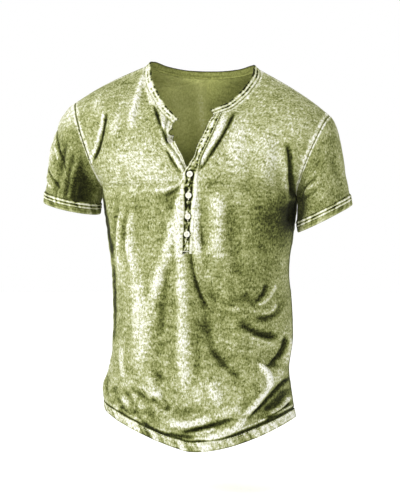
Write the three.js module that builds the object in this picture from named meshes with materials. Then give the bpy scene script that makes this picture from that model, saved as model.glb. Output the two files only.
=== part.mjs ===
// A short-sleeved henley shirt, filled out as if worn, with nobody in it.
// Millimetres: +X is the wearer's left, -Y the front, +Z up. The origin lies between the two
// shoulder seams, where the wearer's shoulders carry the shirt.
import * as THREE from "three";
import { mergeVertices } from "three/addons/utils/BufferGeometryUtils.js";

// Cloth thicknesses and clearances
const jersey = 1.6;
const doubleJersey = 2.4;
const seamGap = 0.44;
const bandGap = 0.8;
const cuffGap = 0.75;
const layerGap = 0.6;
const cuffProud = 1;
const underarmEase = 2.2;

// Widths of the made-up bands
const neckbandWidth = 13;
const slitHalfWidth = 4.6;
const slitBottomZ = -350;
const standBelowSlit = 9;
const standOnPanel = 4;
const standFree = 14.5;
const standFoot = 0.3;
const standTaper = 72;
const cuffHeight = 19;
const hemHeight = 17;
const hemFold = 0.7;

// Mesh density
const frontColumns = 17;
const frontRows = 38;
const backColumns = 12;
const backRows = 26;
const sleeveRows = 9;

// The side seam and the shoulder seam, as places from front to back
const sideSeamY = 2;
const shoulderSeamY = 8;

// The trunk from the hem to the underarm. Each row is a section: its height at the centre front
// and back and at the side seams, where the centre front line runs, the half widths on the
// wearer's right and left, the reach to the front and the back, how square the section is
// (2 is an ellipse) and how the height bends from the centre to each side.
const trunk = [
  { front: -716, back: -706, rightZ: -648, leftZ: -662, centre: 6, right: 178, left: 178, reachFront: 124, reachBack: 112, square: 2.15, bendRight: 1.2, bendLeft: 1.8 },
  { front: -668, back: -660, rightZ: -606, leftZ: -620, centre: 2, right: 182, left: 172, reachFront: 122, reachBack: 110, square: 2.2, bendRight: 1.15, bendLeft: 1.7 },
  { front: -608, back: -602, rightZ: -566, leftZ: -574, centre: -3, right: 169, left: 166, reachFront: 119, reachBack: 104, square: 2.25, bendRight: 1.15, bendLeft: 1.5 },
  { front: -540, back: -536, rightZ: -517, leftZ: -521, centre: -7, right: 163, left: 173, reachFront: 115, reachBack: 95, square: 2.3, bendRight: 1.1, bendLeft: 1.3 },
  { front: -462, back: -460, rightZ: -453, leftZ: -456, centre: -9, right: 163, left: 172, reachFront: 113, reachBack: 87, square: 2.3, bendRight: 1.1, bendLeft: 1.2 },
  { front: -390, back: -390, rightZ: -387, leftZ: -388, centre: -8, right: 164, left: 166, reachFront: 115, reachBack: 89, square: 2.5, bendRight: 1, bendLeft: 1.1 },
  { front: -326, back: -326, rightZ: -325, leftZ: -326, centre: -4, right: 170, left: 171, reachFront: 120, reachBack: 98, square: 2.85, bendRight: 1, bendLeft: 1 },
  { front: -280, back: -280, rightZ: -278, leftZ: -282, centre: -1, right: 176, left: 178, reachFront: 121, reachBack: 105, square: 3.05, bendRight: 1, bendLeft: 1 },
];

// The armhole seams: a slanting loop from the shoulder tip to the underarm, and how steeply and
// fully the sleeve's top leaves it
const armholes = {
  right: { sign: -1, tipX: 238, tipZ: -74, underX: 180, underZ: -237, front: 64, back: 70, drop: 20, full: 0.72 },
  left: { sign: 1, tipX: 242, tipZ: -105, underX: 181, underZ: -250, front: 64, back: 70, drop: 36, full: 0.6 },
};

// The front above the underarm. Each row runs from the slit edge or neck seam out to the armhole:
// the edge on the wearer's right and left, its reach to the front, the angle round the armhole,
// the squareness, how far it wraps round to the side (1 is all the way), and how far the row
// swells, at a lift above the horizontal.
const frontYoke = [
  { rightX: -4.6, rightZ: -242, leftX: 4.6, leftZ: -244, reach: 120, armhole: 180, square: 3.25, wrap: 1, swell: 0, lift: 0 },
  { rightX: -4, rightZ: -218, leftX: 8, leftZ: -218, reach: 117.5, armhole: 156, square: 2.85, wrap: 0.93, swell: 0, lift: 10 },
  { rightX: -20, rightZ: -187, leftX: 18, leftZ: -187, reach: 111, armhole: 138, square: 2.6, wrap: 0.86, swell: 1, lift: 15 },
  { rightX: -44, rightZ: -154, leftX: 33, leftZ: -152, reach: 100, armhole: 119, square: 2.45, wrap: 0.8, swell: 3, lift: 22 },
  { rightX: -48, rightZ: -131, leftX: 44, leftZ: -125, reach: 90, armhole: 103, square: 2.25, wrap: 0.75, swell: 5, lift: 28 },
  { rightX: -46, rightZ: -112, leftX: 52, leftZ: -102, reach: 79, armhole: 88, square: 2.2, wrap: 0.72, swell: 8, lift: 35 },
  { rightX: -61, rightZ: -99, leftX: 69, leftZ: -94, reach: 71, armhole: 73, square: 2.15, wrap: 0.7, swell: 11, lift: 42 },
  { rightX: -77, rightZ: -78, leftX: 88, leftZ: -77, reach: 56, armhole: 55, square: 2.1, wrap: 0.7, swell: 13, lift: 52 },
  { rightX: -92, rightZ: -53, leftX: 104, leftZ: -56, reach: 36, armhole: 37, square: 2.05, wrap: 0.7, swell: 12, lift: 64 },
  { rightX: -101, rightZ: -27, leftX: 113, leftZ: -34, reach: 13, armhole: 18, square: 2, wrap: 0.72, swell: 9, lift: 78 },
  { rightX: -105, rightZ: -7, leftX: 111, leftZ: -17, reach: -8, armhole: 0, square: 2, wrap: 0.75, swell: 6, lift: 90 },
];
const slitTopRow = 1;
const neckCornerRow = 5;

// The back above the underarm, from the centre back line or neck seam out to the armhole
const backYoke = [
  { rightX: 0, rightZ: -242, leftX: 0, leftZ: -244, reach: 109, armhole: 180, square: 3.2, wrap: 1, swell: 0, lift: 0 },
  { rightX: 0, rightZ: -200, leftX: 0, leftZ: -200, reach: 112, armhole: 206, square: 2.85, wrap: 0.93, swell: 1, lift: 8 },
  { rightX: 0, rightZ: -155, leftX: 0, leftZ: -155, reach: 111, armhole: 232, square: 2.6, wrap: 0.86, swell: 3, lift: 16 },
  { rightX: 0, rightZ: -110, leftX: 0, leftZ: -110, reach: 103, armhole: 254, square: 2.3, wrap: 0.8, swell: 6, lift: 26 },
  { rightX: 0, rightZ: -65, leftX: 0, leftZ: -65, reach: 90, armhole: 275, square: 2.25, wrap: 0.75, swell: 10, lift: 36 },
  { rightX: 0, rightZ: -25, leftX: 0, leftZ: -25, reach: 72, armhole: 294, square: 2.2, wrap: 0.72, swell: 13, lift: 46 },
  { rightX: -40, rightZ: -22, leftX: 40, leftZ: -25, reach: 68, armhole: 310, square: 2.15, wrap: 0.7, swell: 13, lift: 54 },
  { rightX: -72, rightZ: -16, leftX: 74, leftZ: -22, reach: 56, armhole: 324, square: 2.1, wrap: 0.7, swell: 12, lift: 62 },
  { rightX: -95, rightZ: -8, leftX: 99, leftZ: -17, reach: 35, armhole: 341, square: 2, wrap: 0.7, swell: 9, lift: 76 },
  { rightX: -105, rightZ: -7, leftX: 111, leftZ: -17, reach: 8, armhole: 360, square: 2, wrap: 0.75, swell: 6, lift: 90 },
];
const backNeckRow = 5;

// How steeply the neckband rises from its seam at the front, the sides and the back
const neckbandRise = { front: 62, side: 42, back: 74 };

// The sleeves' mouths: the middle of the cuff's lower edge, how far its outer side is lifted,
// its radii across and from front to back, how far the cuff leans out, and how far its front sags
const cuffs = {
  right: { x: 244.5, y: -3, z: -272, lift: 13, across: 54.5, deep: 60, lean: 5, sag: 6 },
  left: { x: 235, y: -3, z: -294, lift: 26, across: 54.5, deep: 60, lean: 9, sag: 7 },
};

// Folds in the front, as seen from the front. Each runs on a bend through three places, is so
// wide to each side, stands so high (a trough is negative) and leans to one side.
const frontFolds = [
  { x0: 6, z0: -356, x1: -14, z1: -440, x2: -12, z2: -600, width: 20, height: 7, lean: -0.1 },
  { x0: -20, z0: -318, x1: -52, z1: -420, x2: -62, z2: -520, width: 24, height: 6, lean: 0.2 },
  { x0: -120, z0: -270, x1: -118, z1: -420, x2: -88, z2: -560, width: 26, height: 6, lean: 0 },
  { x0: 22, z0: -370, x1: 40, z1: -470, x2: 100, z2: -610, width: 26, height: -7, lean: 0.2 },
  { x0: 64, z0: -230, x1: 58, z1: -320, x2: 62, z2: -400, width: 26, height: 5, lean: 0 },
  { x0: 90, z0: -508, x1: 128, z1: -532, x2: 168, z2: -548, width: 22, height: -8, lean: 0.2 },
  { x0: 124, z0: -566, x1: 142, z1: -622, x2: 40, z2: -692, width: 21, height: 9, lean: 0.2 },
  { x0: 160, z0: -570, x1: 152, z1: -640, x2: 66, z2: -700, width: 16, height: -8, lean: 0 },
  { x0: -90, z0: -640, x1: -50, z1: -668, x2: 20, z2: -658, width: 19, height: 7, lean: 0.2 },
  { x0: 80, z0: -96, x1: 56, z1: -150, x2: 24, z2: -200, width: 15, height: 6, lean: 0.3 },
  { x0: -84, z0: -76, x1: -68, z1: -112, x2: -52, z2: -150, width: 14, height: 5, lean: -0.3 },
  { x0: -172, z0: -96, x1: -176, z1: -140, x2: -184, z2: -196, width: 16, height: -7, lean: 0 },
  { x0: 156, z0: -146, x1: 158, z1: -196, x2: 160, z2: -250, width: 17, height: -7, lean: 0 },
];

// Folds in the back, as seen from the front through the shirt: soft drapes from the shoulder
// blades and a few slack folds at the small of the back
const backFolds = [
  { x0: -70, z0: -190, x1: -78, z1: -380, x2: -60, z2: -600, width: 26, height: 6, lean: 0.1 },
  { x0: 20, z0: -210, x1: 10, z1: -400, x2: 24, z2: -620, width: 24, height: 5, lean: -0.2 },
  { x0: 95, z0: -180, x1: 104, z1: -380, x2: 84, z2: -560, width: 24, height: 6, lean: 0 },
  { x0: -130, z0: -470, x1: -60, z1: -500, x2: 10, z2: -480, width: 18, height: -6, lean: 0.3 },
  { x0: 140, z0: -430, x1: 80, z1: -470, x2: 30, z2: -460, width: 17, height: -6, lean: 0.3 },
  { x0: 150, z0: -560, x1: 90, z1: -640, x2: -10, z2: -670, width: 20, height: 7, lean: 0.2 },
  { x0: -150, z0: -590, x1: -100, z1: -640, x2: -40, z2: -655, width: 18, height: 6, lean: 0.2 },
  { x0: -176, z0: -110, x1: -168, z1: -160, x2: -160, z2: -230, width: 14, height: -6, lean: 0 },
  { x0: 178, z0: -125, x1: 168, z1: -170, x2: 160, z2: -235, width: 14, height: -6, lean: 0 },
];

// Folds in a sleeve: the place round it in degrees (0 outside, 90 front, 180 inside, 270 back)
// and along it from 0 at the armhole to 1 at the cuff, at both ends
const sleeveFolds = {
  right: [
    { turn0: 40, along0: 0.35, turn1: 100, along1: 0.85, width: 17, height: -5 },
    { turn0: 5, along0: 0.5, turn1: 60, along1: 0.95, width: 16, height: 4 },
    { turn0: 128, along0: 0.25, turn1: 140, along1: 1, width: 22, height: -6 },
    { turn0: 300, along0: 0.3, turn1: 230, along1: 0.9, width: 18, height: -5 },
  ],
  left: [
    { turn0: 96, along0: 0.25, turn1: 40, along1: 0.62, width: 18, height: -4 },
    { turn0: 120, along0: 0.4, turn1: 70, along1: 0.85, width: 18, height: 4 },
    { turn0: 140, along0: 0.25, turn1: 152, along1: 1, width: 20, height: -5 },
    { turn0: 300, along0: 0.3, turn1: 235, along1: 0.9, width: 18, height: -5 },
  ],
};

// The buttons, from the neck down. The first is unfastened, on the under stand
const buttonRadius = 5.6;
const buttonThickness = 2.4;
const buttonHoleRadius = 0.8;
const buttonHoleSpacing = 2.6;
const fastenedButtonZ = [-216, -254, -292, -324];
const openButtonZ = -155;

const radians = THREE.MathUtils.degToRad;
const lerp = THREE.MathUtils.lerp;
const point = (x, y, z) => new THREE.Vector3(x, y, z);
const softStep = (t) => THREE.MathUtils.smoothstep(t, 0, 1);

// A point on an armhole seam: 0 at the shoulder tip, 90 in front, 180 under the arm, 270 behind.
function armholePoint(side, angle) {
  const hole = armholes[side];
  const turn = radians(angle);
  const height = (1 + Math.cos(turn)) / 2;
  const reach = Math.sin(turn) > 0 ? hole.front : hole.back;
  return point(
    hole.sign * lerp(hole.underX, hole.tipX, height),
    lerp(sideSeamY, shoulderSeamY, height) - reach * Math.sin(turn),
    lerp(hole.underZ, hole.tipZ, height),
  );
}

// The sections of one half of the front or the back, from the hem to the shoulder seam.
function sections(face, side) {
  const sign = armholes[side].sign;
  const isFront = face === "front";
  const outward = isFront ? -1 : 1;
  const bend = side === "left" ? "bendLeft" : "bendRight";
  const low = trunk.map((row) => ({
    inner: point(
      isFront ? row.centre + sign * slitHalfWidth : 0,
      outward * (isFront ? row.reachFront : row.reachBack),
      row[face],
    ),
    outer: point(sign * row[side], sideSeamY, row[side + "Z"]),
    angle: 180,
    square: row.square,
    bend: row[bend],
    wrap: 1,
    swell: 0,
    lift: 0,
  }));
  const high = (isFront ? frontYoke : backYoke).map((row) => ({
    inner: point(row[side + "X"], outward * row.reach, row[side + "Z"]),
    outer: armholePoint(side, row.armhole),
    angle: row.armhole,
    square: row.square,
    bend: 1,
    wrap: row.wrap,
    swell: row.swell,
    lift: radians(row.lift),
  }));
  return [...low, ...high];
}

// A point on a section: 0 at its inner end, 1 at its outer end.
function alongSection(section, across, outward) {
  const power = 2 / section.square;
  const end = (section.wrap * Math.PI) / 2;
  const endDeep = Math.max(0, Math.cos(end)) ** power;
  const wide = (Math.sin(across * end) / Math.sin(end)) ** power;
  const deep = (Math.max(0, Math.cos(across * end)) ** power - endDeep) / (1 - endDeep);
  const swell = section.swell * Math.sin(Math.PI * across);
  return point(
    lerp(section.inner.x, section.outer.x, wide),
    lerp(section.outer.y, section.inner.y, deep) + outward * swell * Math.cos(section.lift),
    lerp(section.inner.z, section.outer.z, wide ** section.bend) + swell * Math.sin(section.lift),
  );
}

// Places across a section at even steps of its length, after one narrow step at the slit.
function evenAcross(columns, narrow) {
  const usual = { inner: point(0, -118, 0), outer: point(172, 0, 0), square: 2.4, bend: 1, wrap: 1, swell: 0, lift: 0 };
  const samples = 500;
  const lengths = [0];
  for (let i = 1; i <= samples; i += 1) {
    const step = alongSection(usual, i / samples, -1).distanceTo(alongSection(usual, (i - 1) / samples, -1));
    lengths.push(lengths[i - 1] + step);
  }
  const total = lengths[samples];
  const first = narrow > 0 ? [0] : [];
  const even = columns - first.length;
  const targets = Array.from({ length: even + 1 }, (_, i) => narrow + ((total - narrow) * i) / even);
  return [...first, ...targets].map((target) => {
    let k = 1;
    while (k < samples && lengths[k] < target) k += 1;
    return (k - 1 + (target - lengths[k - 1]) / (lengths[k] - lengths[k - 1])) / samples;
  });
}

// A smooth curve through numbers at uneven knots, at one place.
function through(knots, values, at) {
  const last = knots.length - 1;
  let k = 0;
  while (k < last - 1 && at > knots[k + 1]) k += 1;
  const slope = (i) => {
    const a = Math.max(i - 1, 0);
    const b = Math.min(i + 1, last);
    return (values[b] - values[a]) / (knots[b] - knots[a]);
  };
  const span = knots[k + 1] - knots[k];
  const t = (at - knots[k]) / span;
  return values[k] * (2 * t ** 3 - 3 * t ** 2 + 1) + slope(k) * span * (t ** 3 - 2 * t ** 2 + t)
    + values[k + 1] * (3 * t ** 2 - 2 * t ** 3) + slope(k + 1) * span * (t ** 3 - t ** 2);
}

const throughPoints = (knots, values, at) => point(
  ...["x", "y", "z"].map((axis) => through(knots, values.map((p) => p[axis]), at)));

// An edge of a panel half: smooth below and above its corner, and sharp at it.
function edgeAt(levels, knots, end, corner, at) {
  const [from, to] = at <= knots[corner] ? [0, corner + 1] : [corner, levels.length];
  return throughPoints(knots.slice(from, to), levels.slice(from, to).map((level) => level[end]), at);
}

// The angle round the armhole at a place up the cloth.
function angleAt(levels, knots, at) {
  const from = trunk.length;
  return through(knots.slice(from), levels.slice(from).map((level) => level.angle), at);
}

// Knots for a list of sections: their mean distance up the cloth, the same on both sides.
function sectionKnots(face) {
  const halves = ["right", "left"].map((side) => sections(face, side));
  const knots = [0];
  for (let i = 1; i < halves[0].length; i += 1) {
    const gaps = halves.flatMap((rows) =>
      ["inner", "outer"].map((end) => rows[i][end].distanceTo(rows[i - 1][end])));
    knots.push(knots[i - 1] + gaps.reduce((a, b) => a + b) / gaps.length);
  }
  return knots;
}

// How far the folds lift the cloth at a place (x, z). Each fold is a bend through its three
// places, highest along its line and dying out to both sides and at both ends.
function foldHeight(folds, x, z) {
  const steps = 10;
  let total = 0;
  for (const fold of folds) {
    const bend = Array.from({ length: steps + 1 }, (_, i) => {
      const t = i / steps;
      const [a, b, c] = [(1 - t) ** 2, 2 * t * (1 - t), t ** 2];
      return { x: a * fold.x0 + b * fold.x1 + c * fold.x2, z: a * fold.z0 + b * fold.z1 + c * fold.z2 };
    });
    let nearest = Infinity;
    let side = 0;
    let along = 0;
    for (let i = 0; i < steps; i += 1) {
      const runX = bend[i + 1].x - bend[i].x;
      const runZ = bend[i + 1].z - bend[i].z;
      const share = THREE.MathUtils.clamp(
        ((x - bend[i].x) * runX + (z - bend[i].z) * runZ) / (runX ** 2 + runZ ** 2), 0, 1);
      const dx = x - bend[i].x - share * runX;
      const dz = z - bend[i].z - share * runZ;
      const distance = Math.hypot(dx, dz);
      if (distance < nearest) {
        nearest = distance;
        along = (i + share) / steps;
        side = (dx * runZ - dz * runX) / (Math.hypot(runX, runZ) * Math.max(distance, 1));
      }
    }
    const near = Math.min(nearest / (fold.width * 2 * (1 + side * fold.lean)), 1);
    const fade = softStep(Math.min(along, 1 - along) / 0.3 + 0.05);
    total += fold.height * fade * (1 - near ** 2) ** 3;
  }
  return total;
}

// Places up the cloth for the mesh rows. The stitch lines, the slit's ends, the underarm and the
// neck corner are rows of their own.
function rowHeights(face, knots, rows) {
  const yoke = trunk.length;
  const slitBottom = slitBottomKnot(knots);
  const middle = face === "front"
    ? [slitBottom - standBelowSlit, slitBottom, knots[yoke], knots[yoke + slitTopRow], knots[yoke + neckCornerRow]]
    : [knots[yoke], knots[yoke + backNeckRow]];
  const fixed = [0, hemHeight, ...middle, knots[knots.length - 1]];
  const step = knots[knots.length - 1] / rows;
  const heights = [0];
  for (let k = 1; k < fixed.length; k += 1) {
    const span = fixed[k] - fixed[k - 1];
    const parts = Math.max(1, Math.round(span / step));
    for (let i = 1; i <= parts; i += 1) heights.push(fixed[k - 1] + (span * i) / parts);
  }
  return heights;
}

// The place up the cloth where the placket's slit ends.
function slitBottomKnot(knots) {
  const i = trunk.findIndex((row) => row.front > slitBottomZ);
  const low = trunk[i - 1].front;
  const high = trunk[i].front;
  return lerp(knots[i - 1], knots[i], (slitBottomZ - low) / (high - low));
}

// The middle surface of one panel as rows of points for each half, before its folds are raised.
function panelForm(face, columns, rows) {
  const outward = face === "front" ? -1 : 1;
  const knots = sectionKnots(face);
  const heights = rowHeights(face, knots, rows);
  const shares = evenAcross(columns, face === "front" ? standOnPanel : 0);
  const under = trunk.length;
  const corner = under + (face === "front" ? neckCornerRow : backNeckRow);
  const half = (side) => {
    const levels = sections(face, side);
    const ends = shares.map((share) => levels.map((level) => alongSection(level, share, outward)));
    return heights.map((at) => {
      const inner = edgeAt(levels, knots, "inner", corner, at);
      const outer = at <= knots[under]
        ? edgeAt(levels, knots, "outer", under, at)
        : armholePoint(side, angleAt(levels, knots, at));
      inner.sub(throughPoints(knots, ends[0], at));
      outer.sub(throughPoints(knots, ends[columns], at));
      return shares.map((share, i) => {
        const p = throughPoints(knots, ends[i], at);
        p.addScaledVector(inner, (1 - share) ** 8).addScaledVector(outer, share ** 8);
        p.y += outward * (seamGap / 2);
        return p;
      });
    });
  };
  return { face, columns, knots, heights, right: half("right"), left: half("left") };
}

// Mean normals of a surface given as points and triangles.
function meanNormals(points, triangles) {
  const normals = points.map(() => point(0, 0, 0));
  for (const [a, b, c] of triangles) {
    const face = points[b].clone().sub(points[a]).cross(points[c].clone().sub(points[a]));
    for (const i of [a, b, c]) normals[i].add(face);
  }
  return normals.map((n) => n.normalize());
}

// A closed wall round a surface: its outer skin lies out from the surface, its inner skin lies
// in, and a rim closes every open edge. Both distances may differ from point to point.
function wallGeometry(points, triangles, normals, out, inn) {
  const count = points.length;
  const positions = [];
  const reach = (by, i) => (typeof by === "function" ? by(i) : by);
  points.forEach((p, i) => positions.push(...p.clone().addScaledVector(normals[i], reach(out, i))));
  points.forEach((p, i) => positions.push(...p.clone().addScaledVector(normals[i], -reach(inn, i))));
  const indices = [];
  const edges = new Map();
  for (const [a, b, c] of triangles) {
    indices.push(a, b, c, a + count, c + count, b + count);
    for (const [from, to] of [[a, b], [b, c], [c, a]]) {
      if (edges.has(`${to},${from}`)) edges.delete(`${to},${from}`);
      else edges.set(`${from},${to}`, [from, to]);
    }
  }
  for (const [from, to] of edges.values()) {
    indices.push(from, from + count, to + count, from, to + count, to);
  }
  const geometry = new THREE.BufferGeometry();
  geometry.setAttribute("position", new THREE.Float32BufferAttribute(positions, 3));
  geometry.setIndex(indices);
  return geometry;
}

// Two triangles for a cell of a grid, wound so that its normal points to the left of a to b
// when seen with c above.
const cell = (a, b, c, d) => [[a, b, c], [a, c, d]];

// The front or back panel's surface: points with the folds raised, triangles and normals. Folds
// die out at the side, armhole and shoulder seams, so that the pieces still meet there.
function panelSurface(form) {
  const isFront = form.face === "front";
  const rows = form.heights.length;
  const { columns, heights, knots } = form;
  const points = [];
  const room = [];
  const index = { right: [], left: [] };
  for (const side of ["right", "left"]) {
    for (let j = 0; j < rows; j += 1) {
      const joined = !isFront && side === "left" && heights[j] <= knots[trunk.length + backNeckRow] + 0.01;
      index[side].push([]);
      for (let i = 0; i <= columns; i += 1) {
        if (joined && i === 0) {
          index.left[j].push(index.right[j][0]);
        } else {
          index[side][j].push(points.length);
          points.push(form[side][j][i].clone());
          room.push(softStep((1 - i / columns) / 0.14) * softStep((heights[rows - 1] - heights[j]) / 40));
        }
      }
    }
  }
  const { right, left } = index;
  const triangles = [];
  for (let j = 0; j + 1 < rows; j += 1) {
    if (isFront && heights[j + 1] <= slitBottomKnot(knots) + 0.01) {
      triangles.push(...cell(right[j][0], left[j][0], left[j + 1][0], right[j + 1][0]));
    }
    for (let i = 0; i < columns; i += 1) {
      triangles.push(...cell(right[j][i + 1], right[j][i], right[j + 1][i], right[j + 1][i + 1]));
      triangles.push(...cell(left[j][i], left[j][i + 1], left[j + 1][i + 1], left[j + 1][i]));
    }
  }
  if (!isFront) triangles.forEach((t) => t.reverse());
  const folds = isFront ? frontFolds : backFolds;
  const flat = meanNormals(points, triangles);
  points.forEach((p, i) => p.addScaledVector(flat[i], room[i] * foldHeight(folds, p.x, p.z)));
  const normals = meanNormals(points, triangles);
  for (const side of ["right", "left"]) {
    index[side].forEach((row, j) => row.forEach((k, i) => {
      const onSeam = j === rows - 1 || (i === columns && heights[j] <= knots[trunk.length] + 0.01);
      if (onSeam) normals[k].setY(0).normalize();
    }));
  }
  return { points, triangles, normals, index };
}

const forms = {
  front: panelForm("front", frontColumns, frontRows),
  back: panelForm("back", backColumns, backRows),
};
const surfaces = { front: panelSurface(forms.front), back: panelSurface(forms.back) };

// A normal made square to a direction.
const squareTo = (normal, direction) => normal.clone().addScaledVector(direction, -normal.dot(direction)).normalize();

// Where two pieces are sewn edge to edge, both walls take one shared normal, square to the gap.
// Where they are folded back to back, as under the arm, each keeps its own.
function joinNormals(first, second, gapDirection) {
  const share = softStep((first.dot(second) - 0.05) / 0.5);
  const mean = squareTo(first.clone().add(second).normalize(), gapDirection);
  return [first.clone().lerp(mean, share).normalize(), second.clone().lerp(mean, share).normalize()];
}

// A panel's wall. Its turned-up hem is one fold thicker, outside.
function panelWall(face) {
  const { points, triangles, normals, index } = surfaces[face];
  const hemRows = forms[face].heights.filter((h) => h <= hemHeight + 0.01).length;
  const inHem = new Set();
  for (const side of ["right", "left"]) {
    index[side].slice(0, hemRows).forEach((row) => row.forEach((i) => inHem.add(i)));
  }
  return wallGeometry(points, triangles, normals,
    (i) => jersey / 2 + (inHem.has(i) ? hemFold : 0), jersey / 2);
}

// The points along the inner edge of a panel half, from one place up the cloth to another.
function edgeLine(face, side, from, to) {
  const { index } = surfaces[face];
  return forms[face].heights.flatMap((at, j) =>
    (at >= from - 0.01 && at <= to + 0.01 ? [{ face, k: index[side][j][0] }] : []));
}

// The neck seam, from the slit's corner on the wearer's right, round the back, to the left. Both
// panels have a point at each shoulder seam, and the band takes the one halfway between them.
function neckSeam() {
  const line = (face, side, corner) => {
    const { knots } = forms[face];
    return edgeLine(face, side, knots[trunk.length + corner], knots[knots.length - 1]);
  };
  const front = (side) => line("front", side, neckCornerRow);
  const back = (side) => line("back", side, backNeckRow);
  const places = [
    ...front("right").map((p) => [p]),
    ...back("right").reverse().map((p) => [p]),
    ...back("left").slice(1).map((p) => [p]),
    ...front("left").reverse().map((p) => [p]),
  ];
  const joined = [];
  for (const place of places) {
    const before = joined[joined.length - 1];
    const at = surfaces[place[0].face].points[place[0].k];
    if (before && surfaces[before[0].face].points[before[0].k].distanceTo(at) < 1) before.push(...place);
    else joined.push(place);
  }
  return joined.map((place) => ({
    place,
    at: place.reduce((sum, { face, k }) => sum.add(surfaces[face].points[k]), point(0, 0, 0)).divideScalar(place.length),
  }));
}

// The neckband as stations along the neck seam, run on at both ends across the tops of the
// placket stands. Each has its place, the way the seam runs and the way the band leans.
function neckbandStations() {
  const seam = neckSeam();
  seam.forEach((s, i) => {
    const next = seam[Math.min(i + 1, seam.length - 1)].at;
    s.run = next.clone().sub(seam[Math.max(i - 1, 0)].at).normalize();
  });
  const beyond = (s, distance) => ({ at: s.at.clone().addScaledVector(s.run, distance), run: s.run, place: [] });
  const first = seam[0];
  const last = seam[seam.length - 1];
  const line = [
    beyond(first, -standFree),
    beyond(first, -standFree / 2),
    ...seam,
    beyond(last, standFree / 2),
    beyond(last, standFree),
  ];
  line.forEach((s) => {
    const round = Math.atan2(s.at.x, -s.at.y);
    const cosine = Math.cos(round);
    const end = cosine > 0 ? neckbandRise.front : neckbandRise.back;
    const rise = radians(lerp(neckbandRise.side, end, Math.abs(cosine)));
    const inward = point(-Math.sin(round), Math.cos(round), 0);
    s.lean = squareTo(inward.multiplyScalar(Math.cos(rise)).add(point(0, 0, Math.sin(rise))), s.run);
  });
  return line;
}

const neckbandLine = neckbandStations();
const neckbandSteps = [0, 0.5, 1];

// The neckband's surface, sharing its normals along the seam with the panels.
function neckbandSurface() {
  const wide = neckbandSteps.length;
  const points = neckbandLine.flatMap((s) =>
    neckbandSteps.map((step) => s.at.clone().addScaledVector(s.lean, bandGap + step * neckbandWidth)));
  const triangles = [];
  for (let i = 0; i + 1 < neckbandLine.length; i += 1) {
    for (let k = 0; k + 1 < wide; k += 1) {
      const a = i * wide + k;
      triangles.push(...cell(a, a + wide, a + wide + 1, a + 1));
    }
  }
  const normals = meanNormals(points, triangles);
  neckbandLine.forEach((s, i) => {
    const first = i * wide;
    normals[first] = squareTo(normals[first], s.lean);
    if (!s.place.length) return;
    const mean = s.place.reduce((sum, { face, k }) => sum.add(surfaces[face].normals[k]), point(0, 0, 0)).normalize();
    const [shared] = joinNormals(mean, normals[first], s.lean);
    for (const { face, k } of s.place) surfaces[face].normals[k] = shared.clone();
    normals[first] = squareTo(shared, s.lean);
  });
  return { points, triangles, normals };
}

const band = neckbandSurface();

// A placket stand's rows of points. It is sewn over the slit's own edge. Where the shirt is
// buttoned it reaches across the slit to the other edge, and above that it ends freely.
function standRows(side) {
  const { knots, heights } = forms.front;
  const { points, normals, index } = surfaces.front;
  const sign = armholes[side].sign;
  const bottom = slitBottomKnot(knots) - standBelowSlit;
  const top = knots[trunk.length + neckCornerRow];
  const slitTop = knots[trunk.length + slitTopRow];
  const other = side === "left" ? "right" : "left";
  const rows = [];
  heights.forEach((at, j) => {
    if (at < bottom - 0.01 || at > top + 0.01) return;
    const own = index[side][j];
    const far = index[other][j];
    const up = points[index[side][j + 1][0]].clone().sub(points[index[side][j - 1][0]]).normalize();
    const level = normals[own[0]].clone().cross(up).normalize().multiplyScalar(sign);
    const end = neckbandLine[side === "left" ? neckbandLine.length - 1 : 0].run.clone().multiplyScalar(sign);
    const across = level.lerp(end, softStep(1 - (top - at) / 30)).normalize();
    const opened = softStep((at - slitTop) / 16);
    // the under stand is rolled back, so it shows narrower towards the slit's foot
    const shows = side === "right" ? lerp(standFoot, 1, softStep((at - slitTop) / standTaper)) : 1;
    const free = (share, shut) => points[shut].clone()
      .lerp(points[own[0]].clone().addScaledVector(across, share * standFree * shows), opened);
    rows.push({
      places: [points[own[1]], points[own[0]], free(0.6, far[0]), free(1, far[1])],
      normals: [normals[own[1]], normals[own[0]],
        normals[far[0]].clone().lerp(normals[own[0]], opened).normalize(),
        normals[far[1]].clone().lerp(normals[own[0]], opened).normalize()],
    });
  });
  return rows;
}

// The upper stand lies outside the front panel and the under stand inside it.
const standOffset = (side) => (side === "left" ? jersey / 2 + layerGap : -(jersey / 2 + layerGap + jersey));

function stand(side) {
  const rows = standRows(side);
  const points = rows.flatMap((row) => row.places);
  const normals = rows.flatMap((row) => row.normals);
  const wide = rows[0].places.length;
  const triangles = [];
  for (let j = 0; j + 1 < rows.length; j += 1) {
    for (let k = 0; k + 1 < wide; k += 1) {
      const a = j * wide + k;
      if (side === "left") triangles.push(...cell(a + 1, a, a + wide, a + wide + 1));
      else triangles.push(...cell(a, a + 1, a + wide + 1, a + wide));
    }
  }
  const offset = standOffset(side);
  return wallGeometry(points, triangles, normals, offset + jersey, -offset);
}

// The cuff's slanting axis, and a point on its mouth or on the sleeve's end.
function cuffPoint(side, angle, up) {
  const cuff = cuffs[side];
  const sign = armholes[side].sign;
  const turn = radians(angle);
  const lift = radians(cuff.lift);
  const lean = radians(cuff.lean);
  return point(sign * cuff.x, cuff.y - cuff.deep * Math.sin(turn), cuff.z - cuff.sag * Math.sin(turn))
    .addScaledVector(point(sign * Math.cos(lift), 0, Math.sin(lift)), cuff.across * Math.cos(turn))
    .addScaledVector(point(-sign * Math.sin(lean), 0, Math.cos(lean)), up);
}

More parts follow.
